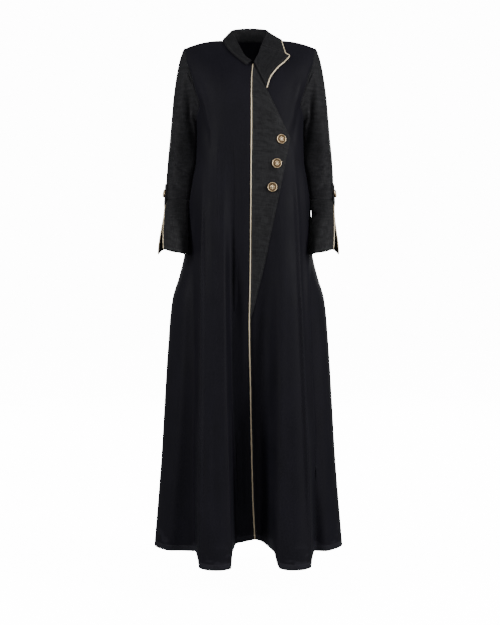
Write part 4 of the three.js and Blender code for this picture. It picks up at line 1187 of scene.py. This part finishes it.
def sleeve_point(side, z, turn, out=0.0):
    """A point of a level section; turn runs from the outside round by the front."""
    z, turn = np.broadcast_arrays(np.asarray(z, float), np.asarray(turn, float))
    columns = ("inner", "outer", "shift", "middle", "half_depth")
    inner, outer, shift, middle, half_depth = (along(SLEEVE, "z", column, z) for column in columns)
    half_width = (outer - inner) / 2
    c, s = np.cos(turn), np.sin(turn)
    normal = unit(points_of(squared(c, 2 - SECTION) / half_width, -squared(s, 2 - SECTION) / half_depth, 0))
    x = (inner + outer) / 2 + half_width * squared(c, SECTION) + normal[..., 0] * out
    y = middle - half_depth * squared(s, SECTION) + normal[..., 1] * out
    return points_of(side * x + shift, y, z)


TUBE_ROUND = 52  # millimetres round the sleeve for one radian of turn
INNER_CALM = 0.8  # how far to each side of its middle the inner side lies flat


def tube_rise(creases, turn, z):
    """Rise of a tube's creases, none on its inner side."""
    rows = [{**c, "x0": c["x0"] * TUBE_ROUND, "x1": c["x1"] * TUBE_ROUND} for c in creases]
    return crease_field(turn * TUBE_ROUND, z, rows) * (1 - bell((turn - math.pi) / INNER_CALM))


PLEAT = {"turn": 2.3, "spread": 0.55, "ridge": 0.05, "trough": 0.1, "width": 0.017, "height": 4, "depth": 11}
CUFF_SEAM = 2.6
PRESS = {"gap": 0.4, "fade": 22, "eyelet_z": -483, "eyelet_height": 9}


def pressed(points, side):
    """The sleeve's inner wall, settled against the body's side and never through it."""
    z = points[..., 2]
    h = np.clip(z, -LENGTH, UNDERARM_Z)
    y = points[..., 1]
    seam_y = body("side", h)
    depth = np.where(y < seam_y, body("front", h) + seam_y, body("back", h) - seam_y)
    ahead = np.clip(np.abs(y - seam_y) / depth, 0, 1)
    angle = np.interp(-ahead, -FORWARD, ANGLES)
    body_x = body("shift", h) + side * body("half_width", h) * across(angle)
    free = side * (points[..., 0] - body_x) - PRESS["gap"]
    weight = bell(np.maximum(free, 0) / PRESS["fade"]) * smooth((UNDERARM_Z - z) / 30)
    weight = weight * (np.abs(y - seam_y) < depth)
    if side > 0:  # the left sleeve leaves a small gap above the cuff's middle
        eyelet = bell((z - PRESS["eyelet_z"]) / PRESS["eyelet_height"])
        weight = np.where(free > 0, weight * (1 - eyelet), weight)
    out = points.copy()
    out[..., 0] -= side * free * weight
    return out


CAP_ROWS = 81
CAP_SPACING = 1.1  # above 1, the rows lie closer together at the armhole
ARM_TUBE_ROWS = 50
SLEEVE_FADE = {"top": 6, "end": 4, "top_seam": 1.5, "end_seam": 1.0, "pleat": 3}  # in rows
BEYOND_PLEATS = 9


def sleeve_grid(side):
    """Rings from the armhole over the sleeve's head and down to the cuff's seam."""
    front, column, back_column = (right_points, 0, -1) if side < 0 else (left_points, -1, 0)
    starts = np.concatenate([front[:ARM_ROWS, column], back_points[ARM_ROWS - 2 : 0 : -1, back_column]])
    ring_turns = np.concatenate([math.pi * shares, 2 * math.pi - math.pi * shares[-2:0:-1]])
    top_z = SLEEVE[0]["z"]
    ends = sleeve_point(side, top_z, ring_turns)
    straight = ends - starts
    both_ways = (ring_turns, 2 * math.pi - ring_turns)
    low = smooth(np.minimum(*both_ways) / CAP_KICK["fade"])[:, None]
    kick = points_of(side * CAP_KICK["x"], -CAP_KICK["y"] * np.sin(ring_turns), CAP_KICK["z"])
    lean = points_of(side * CAP_KICK["lean"], 0, straight[:, 2])
    hang = points_of(0, straight[:, 1] / 3, straight[:, 2])
    cap_shares = np.linspace(0, 1, CAP_ROWS) ** CAP_SPACING
    cap = hermite(cap_shares[:, None, None], starts, mix(kick, straight, low), ends, mix(lean, hang, low))
    below = np.linspace(top_z, SLEEVE_END_Z, ARM_TUBE_ROWS)[1:, None]
    rough = np.concatenate([cap, sleeve_point(side, below, ring_turns + twist(below))])
    grid = softened(rough, 8)
    grid[:2], grid[-2:] = rough[:2], rough[-2:]
    normals = grid_normals(grid, True) * -side
    down = np.arange(len(grid))[:, None]
    up = down[::-1]
    z = grid[..., 2]
    rise = tube_rise(SLEEVE_CREASES, ring_turns + twist(z), z)
    rise = rise * smooth(down / SLEEVE_FADE["top"]) * smooth(up / SLEEVE_FADE["end"])
    top_seam, end_seam = bell(down / SLEEVE_FADE["top_seam"]), bell(up / SLEEVE_FADE["end_seam"])
    seam = CUFF_SEAM * (top_seam * (down > 0) + end_seam * (down > 0))
    spread = [bell((turn - PLEAT["turn"]) / PLEAT["spread"]) for turn in both_ways]
    share = np.concatenate([cap_shares, np.full(len(grid) - CAP_ROWS, BEYOND_PLEATS)])[:, None]
    ridge = PLEAT["height"] * bell((share - PLEAT["ridge"]) / PLEAT["width"])
    trough = PLEAT["depth"] * bell((share - PLEAT["trough"]) / PLEAT["width"])
    seam = seam + sum(spread) * (trough - ridge) * smooth(down / SLEEVE_FADE["pleat"])
    return pressed(grid + normals * (rise - seam)[..., None], side)


def slit_half(down):
    return mix(SLIT["top"], SLIT["bottom"], down)


CUFF_ROWS = 44
CUFF_COLUMNS = 97
CUFF_CREASE_START = 0.12  # share of the cuff's length over which the creases begin
CUFF_SEAM_SHARE = 0.02


def cuff_grid(side):
    """Rows from the cuff's seam to its hem, each from the slit's front edge round to its back edge."""
    down = np.linspace(0, 1, CUFF_ROWS)[:, None]
    turn = mix(slit_half(down), 2 * math.pi - slit_half(down), np.linspace(0, 1, CUFF_COLUMNS))
    half_round = (1 - np.cos(turn)) / 2
    end = mix(np.where(turn < math.pi, CUFF["front_end"], CUFF["back_end"]), CUFF["inner_end"], half_round)
    at_back_edge = bell((2 * math.pi - slit_half(down) - turn) / CUFF_FLARE["turn"])
    z = mix(SLEEVE_END_Z, end - CUFF["corner"] * at_back_edge, down)
    round_it = turn + SLIT["turn"]
    points = sleeve_point(side, z, round_it)
    swing = smooth((down - CUFF_FLARE["from"]) / (1 - CUFF_FLARE["from"]))
    points[..., 0] += side * CUFF_FLARE["out"] * swing * at_back_edge
    normals = grid_normals(points) * -side
    rise = tube_rise(CUFF_CREASES, round_it, z) * smooth(down / CUFF_CREASE_START)
    rise = rise - CUFF_SEAM * bell(down / CUFF_SEAM_SHARE)
    return pressed(points + normals * rise[..., None], side)


def slit_line(side, edge):
    grid = cuff_grid(side)
    column, beside = (0, 2) if edge == "front" else (-1, -3)
    line = grid[:, column]
    away = unit((line - grid[:, beside]) * np.array([1, 1, 0])) * (PIPING_RADIUS * 0.75)
    return (line + away)[2:]


TAB_ROWS = [29, 15]  # down the strap and down its point
TAB_COLUMNS = 31


def tab_grid(side):
    """A strap with a pointed end, over the top of the slit."""
    z = stepped([TAB["top"], TAB["shoulder"], TAB["point"]], TAB_ROWS)
    point = np.clip((z - TAB["shoulder"]) / (TAB["point"] - TAB["shoulder"]), 0, 1)
    half = TAB["half_turn"] * (1 - TAB["narrows"] * point)
    across_it = np.linspace(-1, 1, TAB_COLUMNS)
    turn = twist(z)[:, None] + half[:, None] * across_it
    bulge = 0.5 * np.cos(across_it * math.pi / 2)
    return sleeve_point(side, z[:, None], turn, TAB["offset"] + TAB_THICKNESS + bulge)


# ---- Buttons ----
PETALS = 8
BEADS = 28
REEDS = 56
RINGS = 64
SPOKES = 112
RAISED = 0.1  # relief, as a share of the radius, that stands clear of the tarnish
UNDERSIDE = 0.94
PLATE = {"height": 0.16, "crown": 0.05, "edge": 0.06, "edge_height": 0.18}


def button_relief(r, turn):
    """A rim with reeds, a ring of beads, a plain ring, a rosette and a dome, as shares of the radius."""
    rim = 0.12 * bell((r - 0.88) / 0.06)
    reeds = 0.012 * (1 + np.cos(REEDS * turn)) * bell((r - 0.91) / 0.035)
    beads = 0.04 * np.maximum(0, np.cos(BEADS * turn)) ** 0.7 * bell((r - 0.72) / 0.025)
    ring = 0.045 * bell((r - 0.6) / 0.025)
    petal = np.maximum(0, np.cos(PETALS * turn / 2) ** 2 - 0.25)
    rosette = 0.1 * petal * smooth((0.54 - r) / 0.1) * smooth((r - 0.14) / 0.1)
    dome = 0.1 * np.maximum(0, 1 - (r / 0.17) ** 2) ** 0.5
    return rim + reeds + beads + ring + rosette + dome


def button(node, radius, seat, normal):
    """A cast button: its relief over a low plate, closed underneath."""
    r = np.linspace(0, 1, RINGS)[:, None]
    turn = np.linspace(0, 2 * math.pi, SPOKES, endpoint=False)
    relief = button_relief(r, turn)
    height = PLATE["height"] + PLATE["crown"] * (1 - r**2) + relief
    height = height * smooth((1.0 - r) / PLATE["edge"] + PLATE["edge_height"])
    top = points_of(r * np.cos(turn), r * np.sin(turn), height)
    under = points_of(np.cos(turn) * UNDERSIDE, np.sin(turn) * UNDERSIDE, 0)
    points = np.concatenate([top[1:].reshape(-1, 3), under, [[0, 0, height[0, 0]], [0, 0, 0]]]) * radius
    aside = unit(np.cross([0, 0, 1.0], normal))
    points = points @ np.stack([aside, np.cross(normal, aside), normal]) + seat
    _, _, faces = cells(RINGS, SPOKES, True)
    raised = np.concatenate([relief[1:].ravel() / RAISED, np.zeros(SPOKES), [0.9, 0]])
    layer = np.stack([raised[faces], np.zeros(faces.shape)], axis=-1)
    piece = mesh_object(node, points, faces, {"relief": layer}, brass)
    hub = RINGS * SPOKES
    reworked(piece, capped(np.concatenate([fan(hub, 0, SPOKES), fan(hub + 1, hub - SPOKES, SPOKES)])))
    return dressed(piece, node)


for number, (x, z) in enumerate(FRONT_BUTTONS, 1):
    middle = off_body(x, z, "front", 0)
    normal = unit(off_body(x, z, "front", 1) - middle)
    button(f"button_front_{number}", BUTTON_RADIUS, middle + normal * (SLUB + 2.6), normal)

for side, name in ((-1, "right"), (1, "left")):
    flip = side > 0
    cloth_wall(f"sleeve_{name}", sleeve_grid(side), SLUB, shaded_sleeve_slub, ring=True, flip=flip)
    cloth_wall(f"cuff_{name}", cuff_grid(side), SLUB, slub, flip=flip)
    cloth_wall(f"tab_{name}", tab_grid(side), TAB_THICKNESS, slub, flip=flip)
    for edge in ("front", "back"):
        cord(f"piping_cuff_{name}_{edge}", evenly(slit_line(side, edge), 2.5), PIPING_RADIUS * 0.9)
    turn = float(twist(CUFF_BUTTON["z"]))
    seat = sleeve_point(side, CUFF_BUTTON["z"], turn, TAB["offset"] + SLUB + 1.5)
    fall = sleeve_point(side, TAB["shoulder"], turn) - sleeve_point(side, TAB["top"], turn)
    beside = [sleeve_point(side, CUFF_BUTTON["z"], turn + step) for step in (0.1, -0.1)]
    normal = unit(np.cross(fall, beside[0] - beside[1]) * -side)
    button(f"button_cuff_{name}", CUFF_BUTTON["radius"], seat, normal)

# ---- The cut of each cloth piece, in metres ----
CUTS = table(
    "piece width length area held",
    ("front_right", 0.58, 1.48, 0.49, "hung"),
    ("front_left", 0.59, 1.48, 0.52, "hung"),
    ("back", 0.85, 1.48, 0.82, "hung"),
    ("flap", 0.11, 0.74, 0.040, "hung"),
    ("collar", 0.46, 0.095, 0.028, "folded"),
    ("lapel", 0.145, 0.105, 0.0078, "folded"),
    ("sleeve_right", 0.36, 0.43, 0.110, "hung"),
    ("sleeve_left", 0.36, 0.43, 0.110, "hung"),
    ("cuff_right", 0.29, 0.158, 0.043, "hung"),
    ("cuff_left", 0.29, 0.158, 0.043, "hung"),
    ("tab_right", 0.031, 0.066, 0.0018, "hung"),
    ("tab_left", 0.031, 0.066, 0.0018, "hung"),
)

# ---- Floor, light and camera ----
FLOOR_Z = -1.515
FLOOR_HALF = 9
WHITE = 14.0  # brightness of the floor and the air round the garment, as the eye sees them
AIR = 0.24  # the light that the air throws on the cloth
LIT = (0, 0, -0.7)  # where every light points
CAMERA = {"distance": 3.9, "z": -0.581, "pitch": 2.563, "lens": 80.42}
LIGHTS = table(
    "name place size power",
    ("key_left", (-3.2, -1.9, 0.8), (1.0, 2.4), 160),
    ("key_right", (3.2, -1.8, 0.7), (1.0, 2.4), 220),
    ("front", (0.3, -4.5, 0.5), (1.6, 1.6), 75),
    ("back_left", (1.5, 4.2, 0.9), (1.2, 2.0), 85),
    ("back_right", (-1.3, 4.3, 0.9), (1.2, 2.0), 65),
)


def floor():
    """A plain white floor, bright to the eye alone, so that it throws no light up on the cloth."""
    mesh = bpy.data.meshes.new("studio_floor")
    corners = [(FLOOR_HALF * x, FLOOR_HALF * y, FLOOR_Z) for x, y in ((-1, -1), (1, -1), (1, 1), (-1, 1))]
    mesh.from_pydata(corners, [], [(0, 1, 2, 3)])
    matt = {"Base_Color": (0.9, 0.9, 0.9, 1), "Roughness": 0.9, "Specular_IOR_Level": 0.1}
    paper, _, _ = new_material("studio_paper", Emission_Color=(1, 1, 1, 1), Emission_Strength=WHITE, **matt)
    mesh.materials.append(paper)
    ground = placed("studio_floor", mesh)
    ground.visible_diffuse = False
    ground.visible_glossy = False


def softbox(name, place, size, power):
    light = bpy.data.lights.new(name, "AREA")
    light.shape = "RECTANGLE"
    light.size, light.size_y = size
    light.energy = power
    lamp = placed(name, light)
    lamp.location = place
    aim = np.subtract(LIT, place)
    tilt = math.acos(-aim[2] / np.linalg.norm(aim))
    lamp.rotation_euler = (tilt, 0, math.atan2(aim[1], aim[0]) - math.pi / 2)


def air():
    """Even air, bright where the eye looks into it and dim on the cloth."""
    world = bpy.data.worlds.new("studio_air")
    world.use_nodes = True
    background = world.node_tree.nodes["Background"].inputs
    background["Color"].default_value = (1, 1, 1, 1)
    w = Wiring(world.node_tree)
    w.put(background["Strength"], w.ramp(w.add("LightPath")["Is Camera Ray"], 0.0, 1.0, AIR, WHITE))
    bpy.context.scene.world = world


def camera():
    lens = bpy.data.cameras.new("camera")
    lens.sensor_fit = "AUTO"
    lens.sensor_width = 36
    lens.lens = CAMERA["lens"]
    eye = placed("camera", lens)
    eye.location = (0, -CAMERA["distance"], CAMERA["z"])
    eye.rotation_euler = (math.radians(90 - CAMERA["pitch"]), 0, 0)
    bpy.context.scene.camera = eye


floor()
air()
for light in LIGHTS:
    softbox(**light)
camera()
